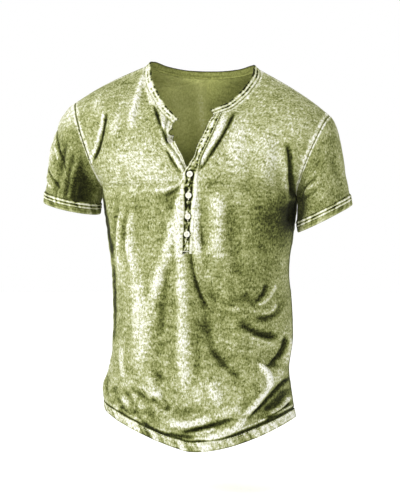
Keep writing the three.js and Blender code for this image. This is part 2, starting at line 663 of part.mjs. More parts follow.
// A point of a sleeve's surface, bending from the armhole to the cuff.
function sleevePoint(side, angle, along) {
  const sign = armholes[side].sign;
  const turn = radians(angle);
  const under = ((1 - Math.cos(turn)) / 2) ** 2;
  const start = armholePoint(side, angle);
  const end = cuffPoint(side, angle, cuffHeight + cuffGap);
  const drop = radians(lerp(armholes[side].drop, 44, under));
  const leave = point(sign * Math.cos(drop), -0.32 * Math.sin(turn), -Math.sin(drop)).normalize();
  const hub = cuffPoint(side, 0, 0).add(cuffPoint(side, 180, 0)).multiplyScalar(0.5);
  const outward = cuffPoint(side, angle, 0).sub(hub).normalize();
  const arrive = cuffPoint(side, angle, 0).sub(end).normalize().addScaledVector(outward, 0.16).normalize();
  const around = armholePoint(side, angle + 1).sub(armholePoint(side, angle - 1)).normalize();
  start.addScaledVector(squareTo(leave, around), seamGap + underarmEase * under);
  end.addScaledVector(outward, -cuffProud);
  const reach = start.distanceTo(end);
  const t = along;
  return start.clone().multiplyScalar(2 * t ** 3 - 3 * t ** 2 + 1)
    .addScaledVector(leave, reach * lerp(armholes[side].full, 0.4, under) * (t ** 3 - 2 * t ** 2 + t))
    .addScaledVector(end, 3 * t ** 2 - 2 * t ** 3)
    .addScaledVector(arrive, reach * 0.8 * (t ** 3 - t ** 2));
}

// How far a sleeve's folds lift the cloth at a place on it, with its girth taken as 360 mm.
function sleeveFoldHeight(side, angle, along) {
  const length = 165;
  let total = 0;
  for (const fold of sleeveFolds[side]) {
    const runAngle = fold.turn1 - fold.turn0;
    const runAlong = (fold.along1 - fold.along0) * length;
    const dx = ((angle - fold.turn0 + 540) % 360) - 180;
    const dz = (along - fold.along0) * length;
    const share = THREE.MathUtils.clamp((dx * runAngle + dz * runAlong) / (runAngle ** 2 + runAlong ** 2), 0, 1);
    const distance = Math.hypot(dx - share * runAngle, dz - share * runAlong);
    const near = Math.min(distance / (fold.width * 1.8), 1);
    total += fold.height * (1 - near ** 2) ** 3 * softStep(Math.min(share, 1 - share) / 0.25 + 0.3);
  }
  return total * softStep(along / 0.25) * softStep((1 - along) / 0.2);
}

// The angles round an armhole at the panels' own mesh rows, so that sleeve and panels meet point
// to point: down the front, then up the back.
function armholeAngles(side) {
  const half = (face) => {
    const { knots, heights } = forms[face];
    const levels = sections(face, side);
    return heights.filter((at) => at >= knots[trunk.length] - 0.01).map((at) => angleAt(levels, knots, at));
  };
  return [...half("front").reverse(), ...half("back").slice(1, -1)];
}

function sleeveRing(side, along) {
  return armholeAngles(side).map((angle) => {
    const p = sleevePoint(side, angle, along);
    const ahead = sleevePoint(side, angle + 1, along).sub(p);
    const down = sleevePoint(side, angle, Math.min(along + 0.01, 1))
      .sub(sleevePoint(side, angle, Math.min(along, 0.99)));
    const normal = ahead.cross(down).normalize().multiplyScalar(armholes[side].sign);
    return p.addScaledVector(normal, sleeveFoldHeight(side, angle, along));
  });
}

// A tube's surface from rings of points.
function tubeSurface(side, rings) {
  const around = rings[0].length;
  const points = rings.flat();
  const triangles = [];
  for (let j = 0; j + 1 < rings.length; j += 1) {
    for (let i = 0; i < around; i += 1) {
      const next = (i + 1) % around;
      const faces = cell(j * around + i, j * around + next, (j + 1) * around + next, (j + 1) * around + i);
      if (side === "right") faces.forEach((f) => f.reverse());
      triangles.push(...faces);
    }
  }
  return { points, triangles, normals: meanNormals(points, triangles), around };
}

const cuffAxis = (side) => cuffPoint(side, 0, 1).sub(cuffPoint(side, 0, 0)).normalize();

// A sleeve's surface, sharing its normals round the armhole with the panels.
function sleeveSurface(side) {
  const rings = Array.from({ length: sleeveRows + 1 }, (_, j) => sleeveRing(side, j / sleeveRows));
  const tube = tubeSurface(side, rings);
  const sewn = (face) => surfaces[face].index[side]
    .filter((_, j) => forms[face].heights[j] >= forms[face].knots[trunk.length] - 0.01)
    .map((row) => ({ face, k: row[row.length - 1] }));
  const front = sewn("front").reverse();
  const back = sewn("back");
  const edge = [...front, ...back.slice(1, -1)];
  edge.forEach(({ face, k }, i) => {
    const panel = surfaces[face];
    const gapDirection = rings[0][i].clone().sub(panel.points[k]).setY(rings[0][i].y - panel.points[k].y).normalize();
    const [outside, own] = joinNormals(panel.normals[k], tube.normals[i], gapDirection);
    panel.normals[k] = outside;
    tube.normals[i] = own;
  });
  surfaces.back.normals[back[0].k] = surfaces.front.normals[front[front.length - 1].k].clone();
  surfaces.back.normals[back[back.length - 1].k] = surfaces.front.normals[front[0].k].clone();
  const last = tube.points.length - tube.around;
  for (let i = last; i < tube.points.length; i += 1) tube.normals[i] = squareTo(tube.normals[i], cuffAxis(side));
  return tube;
}

const sleeves = { right: sleeveSurface("right"), left: sleeveSurface("left") };

// The band on a sleeve's mouth: two layers, so it stands a little proud of the sleeve.
function cuff(side) {
  const rings = [1, 0.5, 0].map((up) => armholeAngles(side).map((angle) => cuffPoint(side, angle, up * cuffHeight)));
  const { points, triangles, normals } = tubeSurface(side, rings);
  const square = normals.map((n) => squareTo(n, cuffAxis(side)));
  return wallGeometry(points, triangles, square, doubleJersey / 2 + 0.2, doubleJersey / 2);
}

// A circle as a closed path of so many points.
function circlePoints(x, y, radius, count) {
  return Array.from({ length: count }, (_, i) => {
    const turn = (2 * Math.PI * i) / count;
    return new THREE.Vector2(x + radius * Math.cos(turn), y + radius * Math.sin(turn));
  });
}

// A button: a disc with eased edges and four holes, facing along +Z.
function buttonGeometry() {
  const outline = new THREE.Shape(circlePoints(0, 0, buttonRadius, 22));
  for (const [x, y] of [[1, 1], [-1, 1], [-1, -1], [1, -1]]) {
    const away = buttonHoleSpacing / 2;
    outline.holes.push(new THREE.Path(circlePoints(x * away, y * away, buttonHoleRadius, 7).reverse()));
  }
  const disc = new THREE.ExtrudeGeometry(outline, {
    depth: buttonThickness * 0.6,
    bevelThickness: buttonThickness * 0.2,
    bevelSize: 0.4,
    bevelOffset: -0.4,
    bevelSegments: 1,
    steps: 1,
  });
  disc.deleteAttribute("normal");
  disc.deleteAttribute("uv");
  return mergeVertices(disc, 1e-4);
}

// A button on a stand's outer face, at a height and so far from the slit's own edge.
function placeButton(mesh, side, z, share) {
  const rows = standRows(side);
  const middle = (row) => row.places[1].clone().lerp(row.places[2], share);
  let j = 0;
  while (j < rows.length - 2 && middle(rows[j + 1]).z < z) j += 1;
  const low = middle(rows[j]);
  const high = middle(rows[j + 1]);
  const t = (z - low.z) / (high.z - low.z);
  const normal = rows[j].normals[1].clone().lerp(rows[j].normals[2], 0.5).normalize();
  const clear = standOffset(side) + jersey + layerGap + buttonThickness * 0.2;
  mesh.position.copy(low.lerp(high, t).addScaledVector(normal, clear));
  mesh.quaternion.setFromUnitVectors(point(0, 0, 1), normal);
}

// Finishes
const washedGreen = new THREE.MeshStandardMaterial({ name: "washed_jersey", color: 0xa7ab78, roughness: 0.95, metalness: 0 });
const bandGreen = new THREE.MeshStandardMaterial({ name: "washed_band", color: 0xb4b884, roughness: 0.95, metalness: 0 });
const buttonCream = new THREE.MeshStandardMaterial({ name: "button", color: 0xefeede, roughness: 0.35, metalness: 0 });

const shirt = new THREE.Group();
const add = (name, geometry, material) => {
  const mesh = new THREE.Mesh(geometry, material);
  mesh.name = name;
  shirt.add(mesh);
  return mesh;
};

const plainWall = ({ points, triangles, normals }, thick) => wallGeometry(points, triangles, normals, thick / 2, thick / 2);

add("front", panelWall("front"), washedGreen);
add("back", panelWall("back"), washedGreen);
add("neckband", plainWall(band, doubleJersey), bandGreen);
add("placket_upper", stand("left"), bandGreen);
add("placket_under", stand("right"), bandGreen);
for (const side of ["right", "left"]) {
  add(`sleeve_${side}`, plainWall(sleeves[side], jersey), washedGreen);
  add(`cuff_${side}`, cuff(side), bandGreen);
}
fastenedButtonZ.forEach((z, i) => placeButton(add(`button_${i + 2}`, buttonGeometry(), buttonCream), "left", z, 0.5));
placeButton(add("button_1", buttonGeometry(), buttonCream), "right", openButtonZ, 0.8);

export default shirt;
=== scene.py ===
import math
import bmesh
import bpy
import numpy as np
from mathutils import Matrix, Vector


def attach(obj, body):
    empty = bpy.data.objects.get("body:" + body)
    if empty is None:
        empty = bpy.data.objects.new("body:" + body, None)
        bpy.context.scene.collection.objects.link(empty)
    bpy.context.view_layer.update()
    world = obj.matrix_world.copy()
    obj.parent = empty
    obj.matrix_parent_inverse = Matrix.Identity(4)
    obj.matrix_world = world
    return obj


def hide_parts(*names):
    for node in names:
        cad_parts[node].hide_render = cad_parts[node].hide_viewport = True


# Henley shirt, filled out as worn. Sizes in the tables are in millimetres, meshes in metres.
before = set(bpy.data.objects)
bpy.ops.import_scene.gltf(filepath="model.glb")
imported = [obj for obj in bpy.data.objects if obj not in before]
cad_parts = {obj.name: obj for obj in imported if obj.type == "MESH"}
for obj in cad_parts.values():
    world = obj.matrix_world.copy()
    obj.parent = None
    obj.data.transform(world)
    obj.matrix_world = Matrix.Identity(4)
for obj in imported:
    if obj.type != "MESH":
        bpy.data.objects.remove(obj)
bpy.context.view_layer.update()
print("frame loaded")

sides = ("right", "left")    # the wearer's
mm = 0.001

cloth = {
    "thickness": 1.0,
    "underSeam": 0.5,          # how far neighbours reach under each other at a seam
    "sideSeamY": 2,
    "shoulderSeamY": 8,
    "hemHeight": 17,
    "cuffHeight": 19,
    "cuffProud": 1,
    "slitHalfWidth": 4.6,
    "slitBottomZ": -350,
    "standBelowSlit": 9,
    "standOnPanel": 4,
    "standFree": 14.5,
    "standFoot": 0.3,
    "standTaper": 72,
    "underarmEase": 1.2,
}


# Numbers
def softStep(t):
    t = np.clip(t, 0, 1)
    return t * t * (3 - 2 * t)


def mix(a, b, t):
    return a + (b - a) * t


def unit(v):
    return v / np.maximum(np.linalg.norm(v, axis=-1, keepdims=True), 1e-9)


def squareTo(normal, direction):
    return unit(normal - direction * (normal * direction).sum(-1, keepdims=True))


def table(columns, rows):  # rows of numbers with named columns
    names = columns.split()
    return [dict(zip(names, row)) for row in rows]


def through(knots, values, at):  # a smooth curve through values at uneven knots
    knots, values, at = np.asarray(knots, float), np.asarray(values, float), np.atleast_1d(np.asarray(at, float))
    last = len(knots) - 1
    before = np.maximum(np.arange(last + 1) - 1, 0)
    after = np.minimum(np.arange(last + 1) + 1, last)
    shape = (-1,) + (1,) * (values.ndim - 1)
    slope = (values[after] - values[before]) / (knots[after] - knots[before]).reshape(shape)
    k = np.searchsorted(knots[1:last], at, side="left")
    span = (knots[k + 1] - knots[k]).reshape(shape)
    t = (at - knots[k]).reshape(shape) / span
    return (values[k] * (2 * t ** 3 - 3 * t ** 2 + 1) + slope[k] * span * (t ** 3 - 2 * t ** 2 + t)
            + values[k + 1] * (3 * t ** 2 - 2 * t ** 3) + slope[k + 1] * span * (t ** 3 - t ** 2))


def ripple(x, y, size, seed):  # soft uneven noise from -1 to 1, the same on every run
    spots = np.random.default_rng(seed).uniform(-1, 1, (64, 64))
    u, v = np.asarray(x) / size + 31.3, np.asarray(y) / size + 17.7
    i, j = np.floor(u).astype(int), np.floor(v).astype(int)
    a, b = softStep(u - i), softStep(v - j)
    pick = lambda p, q: spots[p % 64, q % 64]
    return mix(mix(pick(i, j), pick(i + 1, j), a), mix(pick(i, j + 1), pick(i + 1, j + 1), a), b) * 1.4


def hump(off, width):  # 1 in the middle, falling softly away
    return np.exp(-(off / width) ** 2)


def lengthsAlong(line):
    return np.concatenate([[0], np.cumsum(np.linalg.norm(np.diff(line, axis=0), axis=1))])


def readColumn(rows, place, key, at):  # one column of a table, read between its rows
    return np.interp(at, [row[place] for row in rows], [row[key] for row in rows])


def washAndShadePatch(row, x, z):
    return row["amount"] * np.exp(-((x - row["x"]) / row["wide"]) ** 2 - ((z - row["z"]) / row["tall"]) ** 2)


# The worn form, the same tables as the frame's
trunk = table("front back rightZ leftZ centre right left reachFront reachBack square bendRight bendLeft", [
    (-716, -706, -648, -662, 6, 178, 178, 124, 112, 2.15, 1.2, 1.8),
    (-668, -660, -606, -620, 2, 182, 172, 122, 110, 2.2, 1.15, 1.7),
    (-608, -602, -566, -574, -3, 169, 166, 119, 104, 2.25, 1.15, 1.5),
    (-540, -536, -517, -521, -7, 163, 173, 115, 95, 2.3, 1.1, 1.3),
    (-462, -460, -453, -456, -9, 163, 172, 113, 87, 2.3, 1.1, 1.2),
    (-390, -390, -387, -388, -8, 164, 166, 115, 89, 2.5, 1, 1.1),
    (-326, -326, -325, -326, -4, 170, 173, 120, 98, 2.85, 1, 1),
    (-280, -280, -278, -282, -1, 176, 178, 121, 105, 3.05, 1, 1),
])
armholes = {
    "right": dict(sign=-1, tipX=238, tipZ=-74, underX=180, underZ=-237, front=64, back=70, drop=20, full=0.72),
    "left": dict(sign=1, tipX=242, tipZ=-105, underX=181, underZ=-250, front=64, back=70, drop=36, full=0.6),
}
frontYoke = table("rightX rightZ leftX leftZ reach armhole square wrap swell lift", [
    (-4.6, -242, 4.6, -244, 120, 180, 3.25, 1, 0, 0),
    (-4, -218, 8, -218, 117.5, 156, 2.85, 0.93, 0, 10),
    (-20, -187, 18, -187, 111, 138, 2.6, 0.86, 1, 15),
    (-44, -154, 33, -152, 100, 119, 2.45, 0.8, 3, 22),
    (-48, -131, 44, -125, 90, 103, 2.25, 0.75, 5, 28),
    (-46, -112, 52, -102, 79, 88, 2.2, 0.72, 8, 35),
    (-61, -99, 69, -94, 71, 73, 2.15, 0.7, 11, 42),
    (-77, -78, 88, -77, 56, 55, 2.1, 0.7, 13, 52),
    (-92, -53, 104, -56, 36, 37, 2.05, 0.7, 12, 64),
    (-101, -27, 113, -34, 13, 18, 2, 0.72, 9, 78),
    (-105, -7, 111, -17, -8, 0, 2, 0.75, 6, 90),
])
backYoke = table("rightX rightZ leftX leftZ reach armhole square wrap swell lift", [
    (0, -242, 0, -244, 109, 180, 3.2, 1, 0, 0),
    (0, -200, 0, -200, 112, 206, 2.85, 0.93, 1, 8),
    (0, -155, 0, -155, 111, 232, 2.6, 0.86, 3, 16),
    (0, -110, 0, -110, 103, 254, 2.3, 0.8, 6, 26),
    (0, -65, 0, -65, 90, 275, 2.25, 0.75, 10, 36),
    (0, -25, 0, -25, 72, 294, 2.2, 0.72, 13, 46),
    (-40, -22, 40, -25, 68, 310, 2.15, 0.7, 13, 54),
    (-72, -16, 74, -22, 56, 324, 2.1, 0.7, 12, 62),
    (-95, -8, 99, -17, 35, 341, 2, 0.7, 9, 76),
    (-105, -7, 111, -17, 8, 360, 2, 0.75, 6, 90),
])
slitTopRow, neckCornerRow, backNeckRow = 1, 5, 5
neckbandRise = {"front": 62, "side": 42, "back": 74}
cuffs = {
    "right": dict(x=244.5, y=-3, z=-272, lift=13, across=54.5, deep=60, lean=5, sag=6),
    "left": dict(x=234, y=-3, z=-294, lift=26, across=55.5, deep=60, lean=9, sag=7),
}

# Main folds, as in the frame: a bend through three places, width to each side, height and lean
foldColumns = "x0 z0 x1 z1 x2 z2 width height lean"
frontFolds = table(foldColumns, [
    (6, -356, -14, -440, -12, -600, 20, 7, -0.1),
    (-20, -318, -52, -420, -62, -520, 24, 6, 0.2),
    (-120, -270, -118, -420, -88, -560, 26, 6, 0),
    (22, -370, 40, -470, 100, -610, 26, -7, 0.2),
    (64, -230, 58, -320, 62, -400, 26, 5, 0),
    (90, -508, 128, -532, 168, -548, 22, -8, 0.2),
    (124, -566, 142, -622, 40, -692, 21, 9, 0.2),
    (160, -570, 152, -640, 66, -700, 16, -8, 0),
    (-90, -640, -50, -668, 20, -658, 19, 7, 0.2),
    (80, -96, 56, -150, 24, -200, 15, 6, 0.3),
    (-84, -76, -68, -112, -52, -150, 14, 5, -0.3),
    (-172, -96, -176, -140, -184, -196, 16, -7, 0),
    (156, -146, 158, -196, 160, -250, 17, -7, 0),
])
backFolds = table(foldColumns, [
    (-70, -190, -78, -380, -60, -600, 26, 6, 0.1),
    (20, -210, 10, -400, 24, -620, 24, 5, -0.2),
    (95, -180, 104, -380, 84, -560, 24, 6, 0),
    (-130, -470, -60, -500, 10, -480, 18, -6, 0.3),
    (140, -430, 80, -470, 30, -460, 17, -6, 0.3),
    (150, -560, 90, -640, -10, -670, 20, 7, 0.2),
    (-150, -590, -100, -640, -40, -655, 18, 6, 0.2),
    (-176, -110, -168, -160, -160, -230, 14, -6, 0),
    (178, -125, 168, -170, 160, -235, 14, -6, 0),
])

# Smaller creases, with crease for how sharp they are and the last column for how pale or dark: painted highlight on the
# ridges and painted shade in the troughs, along with the wash's own fading
creaseColumns = "x0 z0 x1 z1 x2 z2 width height crease wash"
frontCreases = table(creaseColumns, [
    (-105, -24, -110, -67, -116, -136, 5, 4, 0.4, 0.5),  # from the neck seam down the chest
    (-100, -30, -86, -68, -66, -106, 4.5, 3.5, 0.4, 0.5),
    (-151, -98, -151, -123, -152, -154, 6, 2.2, 0.3, 0.16),
    (-169, -95, -174, -134, -197, -192, 3.0, 2.2, 0.7, 0.7),  # sharp crease into the armhole
    (-164, -98, -168, -138, -190, -190, 3.0, -3.5, 0.8, -1.3),
    (-140, -86, -142, -112, -143, -150, 4, 2, 0.3, 0.24),
    # painted shade: the black of the armpit crease and the dark below it
    (172, -159, 184, -198, 177, -261, 3.4, -6, 0.9, -1.3),  # armpit black
    (177, -258, 178, -285, 175, -304, 3.2, -4, 0.8, -0.7),
    (162, -160, 170, -205, 166, -250, 6, 2, 0.3, 0.14),
    (-172, -250, -170, -282, -164, -327, 3.2, -3, 0.7, -0.8),  # side line L
    (165, -271, 175, -282, 172, -319, 9, -3, 0.2, -0.25),
    (-176, -232, -171, -258, -164, -280, 3.4, -3, 0.7, -0.9),
    (-126, -258, -138, -332, -132, -393, 4, 2.5, 0.4, 0.2),  # long drapes on the wearer's right
    (-102, -278, -120, -335, -94, -411, 7, 4, 0.3, 0.38),
    (-96, -395, -91, -471, -91, -574, 10, 3, 0.1, 0.26),
    (-116, -271, -125, -341, -116, -385, 4, -2, 0.3, -0.14),
    (-16, -280, -42, -354, -67, -446, 8.5, 5, 0.3, 0.44),
    (-63, -419, -77, -471, -81, -556, 8, 2.5, 0.2, 0.16),
    (-17, -255, -19, -300, -17, -374, 6, 4, 0.5, 0.75),  # beside the placket
    (-15, -352, -12, -470, -9, -612, 8, 5, 0.3, 0.42),
    (11, -254, 13, -301, 16, -374, 5, 4, 0.5, 0.55),
    (17, -288, 21, -324, 24, -345, 4, -3, 0.6, -0.32),
    (25, -461, 31, -534, 72, -567, 7, -2.5, 0.2, -0.14),
    (50, -248, 55, -304, 47, -374, 12, 4, 0.1, 0.26),
    (73, -263, 74, -334, 90, -407, 11, -2, 0.1, -0.1),
    (-72, -244, -31, -248, -6, -223, 3.2, 2.5, 0.6, 0.35),  # chest drag
    (-72, -255, -36, -260, -9, -232, 3.4, -2, 0.5, -0.2),
    (-92, -218, -55, -232, -13, -221, 3.2, 2, 0.4, 0.2),
    (31, -237, 42, -228, 67, -234, 3.2, -1.6, 0.4, -0.14),
    (-11, -228, -33, -239, -47, -271, 5, -2, 0.3, -0.12),
    (-24, -248, -27, -259, -38, -284, 6, -2.5, 0.2, -0.22),
    (-5, -235, -23, -265, -42, -320, 5, 2, 0.4, 0.12),
    (151, -411, 140, -452, 119, -450, 2.8, 2.5, 0.7, 0.34),  # slack at the waist
    (136, -412, 131, -438, 114, -448, 3.4, -3.5, 0.7, -0.6),
    (159, -442, 152, -487, 114, -474, 4.9, -3.5, 0.5, -0.38),
    (90, -481, 108, -506, 156, -511, 6, -7, 0.5, -0.6),
    (102, -436, 103, -459, 121, -468, 3, 2, 0.6, 0.16),
    (121, -468, 140, -468, 151, -449, 3, 2, 0.6, 0.16),
    (76, -464, 95, -454, 116, -470, 3, 1.6, 0.5, 0.1),
    (95, -428, 103, -444, 114, -455, 5, -2.5, 0.5, -0.24),
    (128, -461, 143, -475, 163, -449, 6, 2, 0.3, 0.1),
    (100, -499, 126, -524, 155, -524, 7, 2.5, 0.3, 0.14),
    (123, -553, 146, -584, 136, -608, 4.9, 5, 0.3, 0.85),  # ridge of the big fold
    (138, -599, 124, -627, 97, -652, 5, 5, 0.4, 0.95),
    (101, -649, 90, -683, 24, -695, 5, 4.5, 0.4, 0.85),
    (129, -618, 109, -644, 88, -663, 3.2, -1.5, 0.7, -0.3),
    # painted shadow along the edge of the big fold, with painted shade beside it
    (170, -584, 163, -604, 102, -657, 3.0, -4, 0.9, -1.5),  # black edge
    (167, -604, 168, -628, 134, -644, 6, -4, 0.3, -0.5),  # dark zone
    (164, -508, 170, -541, 141, -562, 3.0, -5, 0.9, -1.2),  # hook
    (155, -560, 135, -572, 121, -548, 3.0, -3, 0.9, -0.6),
    (169, -505, 172, -546, 160, -566, 3.4, 3.5, 0.5, 0.3),  # side ridge
    (160, -572, 152, -588, 136, -602, 5, 3, 0.3, 0.12),
    (171, -620, 168, -638, 140, -650, 3.0, 2.5, 0.6, 0.6),
    (172, -630, 166, -646, 132, -660, 3.0, -3, 0.8, -0.7),
    (-38, -662, 0, -674, 44, -653, 4.4, 4, 0.5, 0.7),  # hem ridge
    (-18, -681, 32, -674, 86, -652, 3.8, -5, 0.7, -1.0),  # hem trough
    (-38, -683, -19, -688, 14, -691, 3.2, -2, 0.8, -0.8),  # hem line
    (-90, -661, -58, -684, -30, -687, 3.4, -2, 0.8, -0.9),  # hem line left
    (1, -344, 5, -420, 34, -462, 3.2, -4, 0.8, -0.55),  # long trough
    (37, -529, 72, -573, 96, -585, 4.6, -3, 0.4, -0.26),
    (42, -651, 68, -650, 92, -636, 6, 3, 0.3, 0.16),
    (-30, -643, -9, -645, 29, -637, 6, -3, 0.3, -0.26),
    (-4, -671, 19, -691, 50, -672, 4, 2.2, 0.5, 0.2),
    (-132, -529, -134, -564, -122, -590, 5, 2.5, 0.4, 0.22),
    (-122, -590, -117, -606, -96, -629, 6, 2, 0.3, 0.12),
    (-73, -581, -73, -597, -57, -620, 7, 2.5, 0.3, 0.18),
    (-69, -602, -53, -613, -40, -637, 5, 3, 0.5, 0.22),
    (-54, -609, -44, -627, -34, -644, 4, -3, 0.5, -0.24),
    (-153, -603, -139, -626, -121, -656, 6, -2.5, 0.3, -0.2),
    (-121, -612, -112, -631, -88, -657, 6, -2.5, 0.3, -0.2),
    (-88, -625, -80, -631, -56, -666, 6, -2, 0.3, -0.16),
    (-168, -580, -172, -607, -162, -626, 5, -3, 0.5, -0.24),
    # painted shadow in the creases where the opened neck rolls back, painted highlight on the rolls
    (78, -98, 62, -150, 12, -216, 3.4, -6, 0.8, -1.1),  # the opened neck, rolled back
    (60, -112, 52, -156, 16, -202, 4.5, 5, 0.4, 0.6),
    (-80, -80, -58, -120, -40, -166, 3.2, -5, 0.8, -1.1),
    (-60, -106, -54, -124, -46, -150, 4.5, 3, 0.4, 0.5),
    (-38, -170, -26, -190, -11, -212, 2.6, 2, 0.6, 0.5),
    (-46, -168, -32, -192, -14, -216, 2.6, -2.5, 0.8, -0.6),
    (-12, -222, -14, -300, -15, -352, 3.4, 2, 0.5, 0.5),
    (13, -226, 15, -300, 17, -356, 3.2, 2, 0.5, 0.45),
    (88, -128, 86, -152, 69, -183, 11, 2, 0.1, 0.1),
    (128, -139, 156, -192, 130, -237, 15, 3, 0.1, 0.1),
    (111, -172, 111, -239, 103, -256, 11, -1.5, 0.1, -0.06),
    (-132, -270, -139, -298, -148, -362, 6, -1.5, 0.2, -0.08),
    (-173, -265, -155, -316, -150, -378, 5, -1, 0.5, -0.75),  # shaded edge under the arm
    (-149, -367, -152, -445, -153, -527, 5, -1, 0.5, -0.5),
    (-146, -287, -154, -339, -158, -446, 4, 1.2, 0.2, 0.1),
    (-58, -515, -64, -563, -54, -609, 7, -2.5, 0.2, -0.12),
    (-38, -374, -51, -441, -53, -515, 7, -3, 0.3, -0.2),
    (-30, -425, -35, -495, -35, -573, 6, -1.5, 0.2, -0.08),
    (9, -497, 18, -534, 13, -579, 7, -1.6, 0.2, -0.12),
    (30, -389, 58, -434, 87, -443, 6, 1.6, 0.3, 0.1),
    (29, -417, 56, -461, 90, -475, 6, -1.6, 0.3, -0.12),
    (34, -482, 53, -517, 90, -529, 6, 1.6, 0.3, 0.08),
    (70, -374, 96, -405, 128, -385, 6, -1.6, 0.3, -0.1),
    (91, -601, 110, -617, 97, -640, 7, -2, 0.3, -0.14),
    (69, -434, 81, -448, 101, -441, 3.2, -1.6, 0.4, -0.15),  # mid wrinkles
    (47, -443, 62, -469, 90, -455, 3.2, 1.6, 0.4, 0.14),
    (12, -475, 24, -505, 58, -502, 3.2, -1.6, 0.4, -0.14),
    (-73, -498, -62, -526, -36, -521, 3.2, -1.8, 0.4, -0.16),
    (-70, -537, -58, -561, -32, -555, 3.2, 1.8, 0.4, 0.16),
    (-73, -563, -59, -587, -39, -585, 3.2, -1.8, 0.4, -0.16),
    (-2, -533, 11, -552, 30, -543, 3.2, 1.6, 0.4, 0.14),
    (65, -524, 80, -544, 107, -533, 3.2, 1.6, 0.4, 0.12),
    (108, -594, 124, -604, 113, -624, 3.2, -1.6, 0.4, -0.2),
    (-117, -604, -90, -610, -72, -631, 3.4, -2.2, 0.5, -0.3),
    (-134, -620, -114, -631, -88, -650, 3.4, 2.2, 0.5, 0.3),
    (-73, -617, -61, -633, -34, -641, 3.4, -2.2, 0.5, -0.3),
    (-89, -596, -78, -613, -46, -616, 3.4, 2.2, 0.5, 0.3),
    (38, -586, 51, -607, 42, -631, 9, 2.5, 0.2, 0.2),
])
backCreases = table(creaseColumns, [
    (-112, -60, -96, -130, -88, -210, 9, 3, 0.3, 0.2),  # from the shoulders
    (104, -70, 92, -140, 96, -220, 9, 3, 0.3, 0.2),
    (-40, -60, -34, -120, -44, -200, 10, 2, 0.2, 0.12),
    (46, -60, 52, -130, 40, -190, 10, 2, 0.2, 0.1),
    (-172, -150, -150, -196, -120, -240, 5, 3, 0.6, 0.26),
    (176, -160, 150, -205, 112, -250, 5, 3, 0.6, 0.26),
    (-168, -170, -150, -214, -128, -262, 5, -4, 0.6, -0.4),
    (172, -182, 150, -226, 120, -272, 5, -4, 0.6, -0.4),
    (-150, -420, -90, -452, -30, -440, 6, 4, 0.5, 0.3),  # slack at the small of the back
    (-140, -440, -80, -470, -20, -458, 6, -4, 0.5, -0.35),
    (-110, -486, -50, -512, 20, -498, 6, 4, 0.4, 0.26),
    (-100, -504, -44, -528, 24, -512, 6, -3.5, 0.4, -0.3),
    (150, -400, 90, -436, 40, -428, 6, 4, 0.5, 0.3),
    (146, -418, 92, -454, 36, -444, 6, -4, 0.5, -0.34),
    (140, -468, 92, -496, 52, -486, 6, 3, 0.4, 0.22),
    (-96, -496, -104, -580, -82, -650, 8, 4, 0.4, 0.26),
    (-74, -512, -82, -584, -58, -652, 6, -4, 0.5, -0.36),
    (80, -592, 88, -620, 68, -656, 6, 3.5, 0.5, 0.24),
    (98, -566, 110, -614, 88, -656, 5, -3.5, 0.6, -0.36),
    (-28, -526, -12, -570, -24, -604, 10, 2.5, 0.2, 0.12),
    (2, -540, 12, -596, 0, -634, 7, -2.5, 0.4, -0.18),
    (-140, -300, -132, -370, -138, -430, 8, 3, 0.3, 0.18),
    (140, -300, 136, -360, 140, -420, 8, 3, 0.3, 0.18),
    (-30, -250, -22, -330, -30, -410, 9, 2.5, 0.2, 0.16),
    (56, -260, 50, -340, 60, -400, 9, -2.5, 0.2, -0.14),
    (-90, -660, -40, -676, 20, -668, 5, 4, 0.5, 0.3),
    (30, -676, 80, -664, 130, -640, 5, 4, 0.5, 0.3),
    (-60, -650, -10, -660, 40, -652, 5, -4, 0.5, -0.32),
])
# Broad patches of painted light and shade, along with the wash's own uneven fading: paler over the chest and shoulders,
# darker towards the sides
washAndShadeColumns = "x z wide tall amount"
frontWashAndShade = table(washAndShadeColumns, [
    (-110, -190, 62, 48, 0.22),
    (-60, -215, 50, 30, 0.12),
    (-120, -110, 40, 50, 0.06),
    (-150, -140, 22, 60, -0.12),
    (-120, -440, 40, 140, 0.06),
    (90, -150, 50, 40, 0.1),
    (130, -120, 40, 30, -0.06),
    (150, -300, 38, 60, -0.36),
    (160, -290, 18, 40, -0.14),
    (-80, -300, 60, 50, -0.1),
    (45, -300, 30, 40, -0.06),
    (178, -225, 14, 55, 0.04),
    (110, -300, 40, 60, -0.04),
    (100, -180, 60, 50, 0.16),
    (150, -110, 60, 40, 0.1),
    (-150, -70, 60, 30, 0.08),
    (-186, -86, 16, 20, 0.14),
    (0, -640, 150, 40, 0.06),
    (110, -440, 60, 60, -0.16),
    (120, -530, 40, 30, -0.06),
    (30, -608, 46, 20, 0.08),
    (-110, -630, 46, 24, -0.02),
    (140, -645, 40, 22, -0.2),
    (20, -470, 40, 60, -0.1),
    (70, -560, 40, 40, -0.06),
    (10, -700, 60, 12, 0.1),
])
backWashAndShade = table(washAndShadeColumns, [
    (0, -80, 110, 60, 0.16),
    (4, -100, 9, 70, 0.08),
    (0, -180, 90, 70, 0.1),
    (-120, -160, 30, 60, -0.14),
    (120, -160, 30, 60, -0.14),
    (0, -440, 120, 50, -0.1),
    (-60, -600, 60, 40, 0.1),
    (80, -580, 50, 50, 0.04),
    (165, -300, 24, 90, -0.24),
    (-165, -300, 24, 90, -0.24),
])


def armholePoint(side, angle):  # 0 at the shoulder tip, 90 in front, 180 under the arm
    hole = armholes[side]
    turn = np.radians(angle)
    height = (1 + np.cos(turn)) / 2
    reach = np.where(np.sin(turn) > 0, hole["front"], hole["back"])
    return np.stack([
        hole["sign"] * mix(hole["underX"], hole["tipX"], height),
        mix(cloth["sideSeamY"], cloth["shoulderSeamY"], height) - reach * np.sin(turn),
        mix(hole["underZ"], hole["tipZ"], height)], -1)


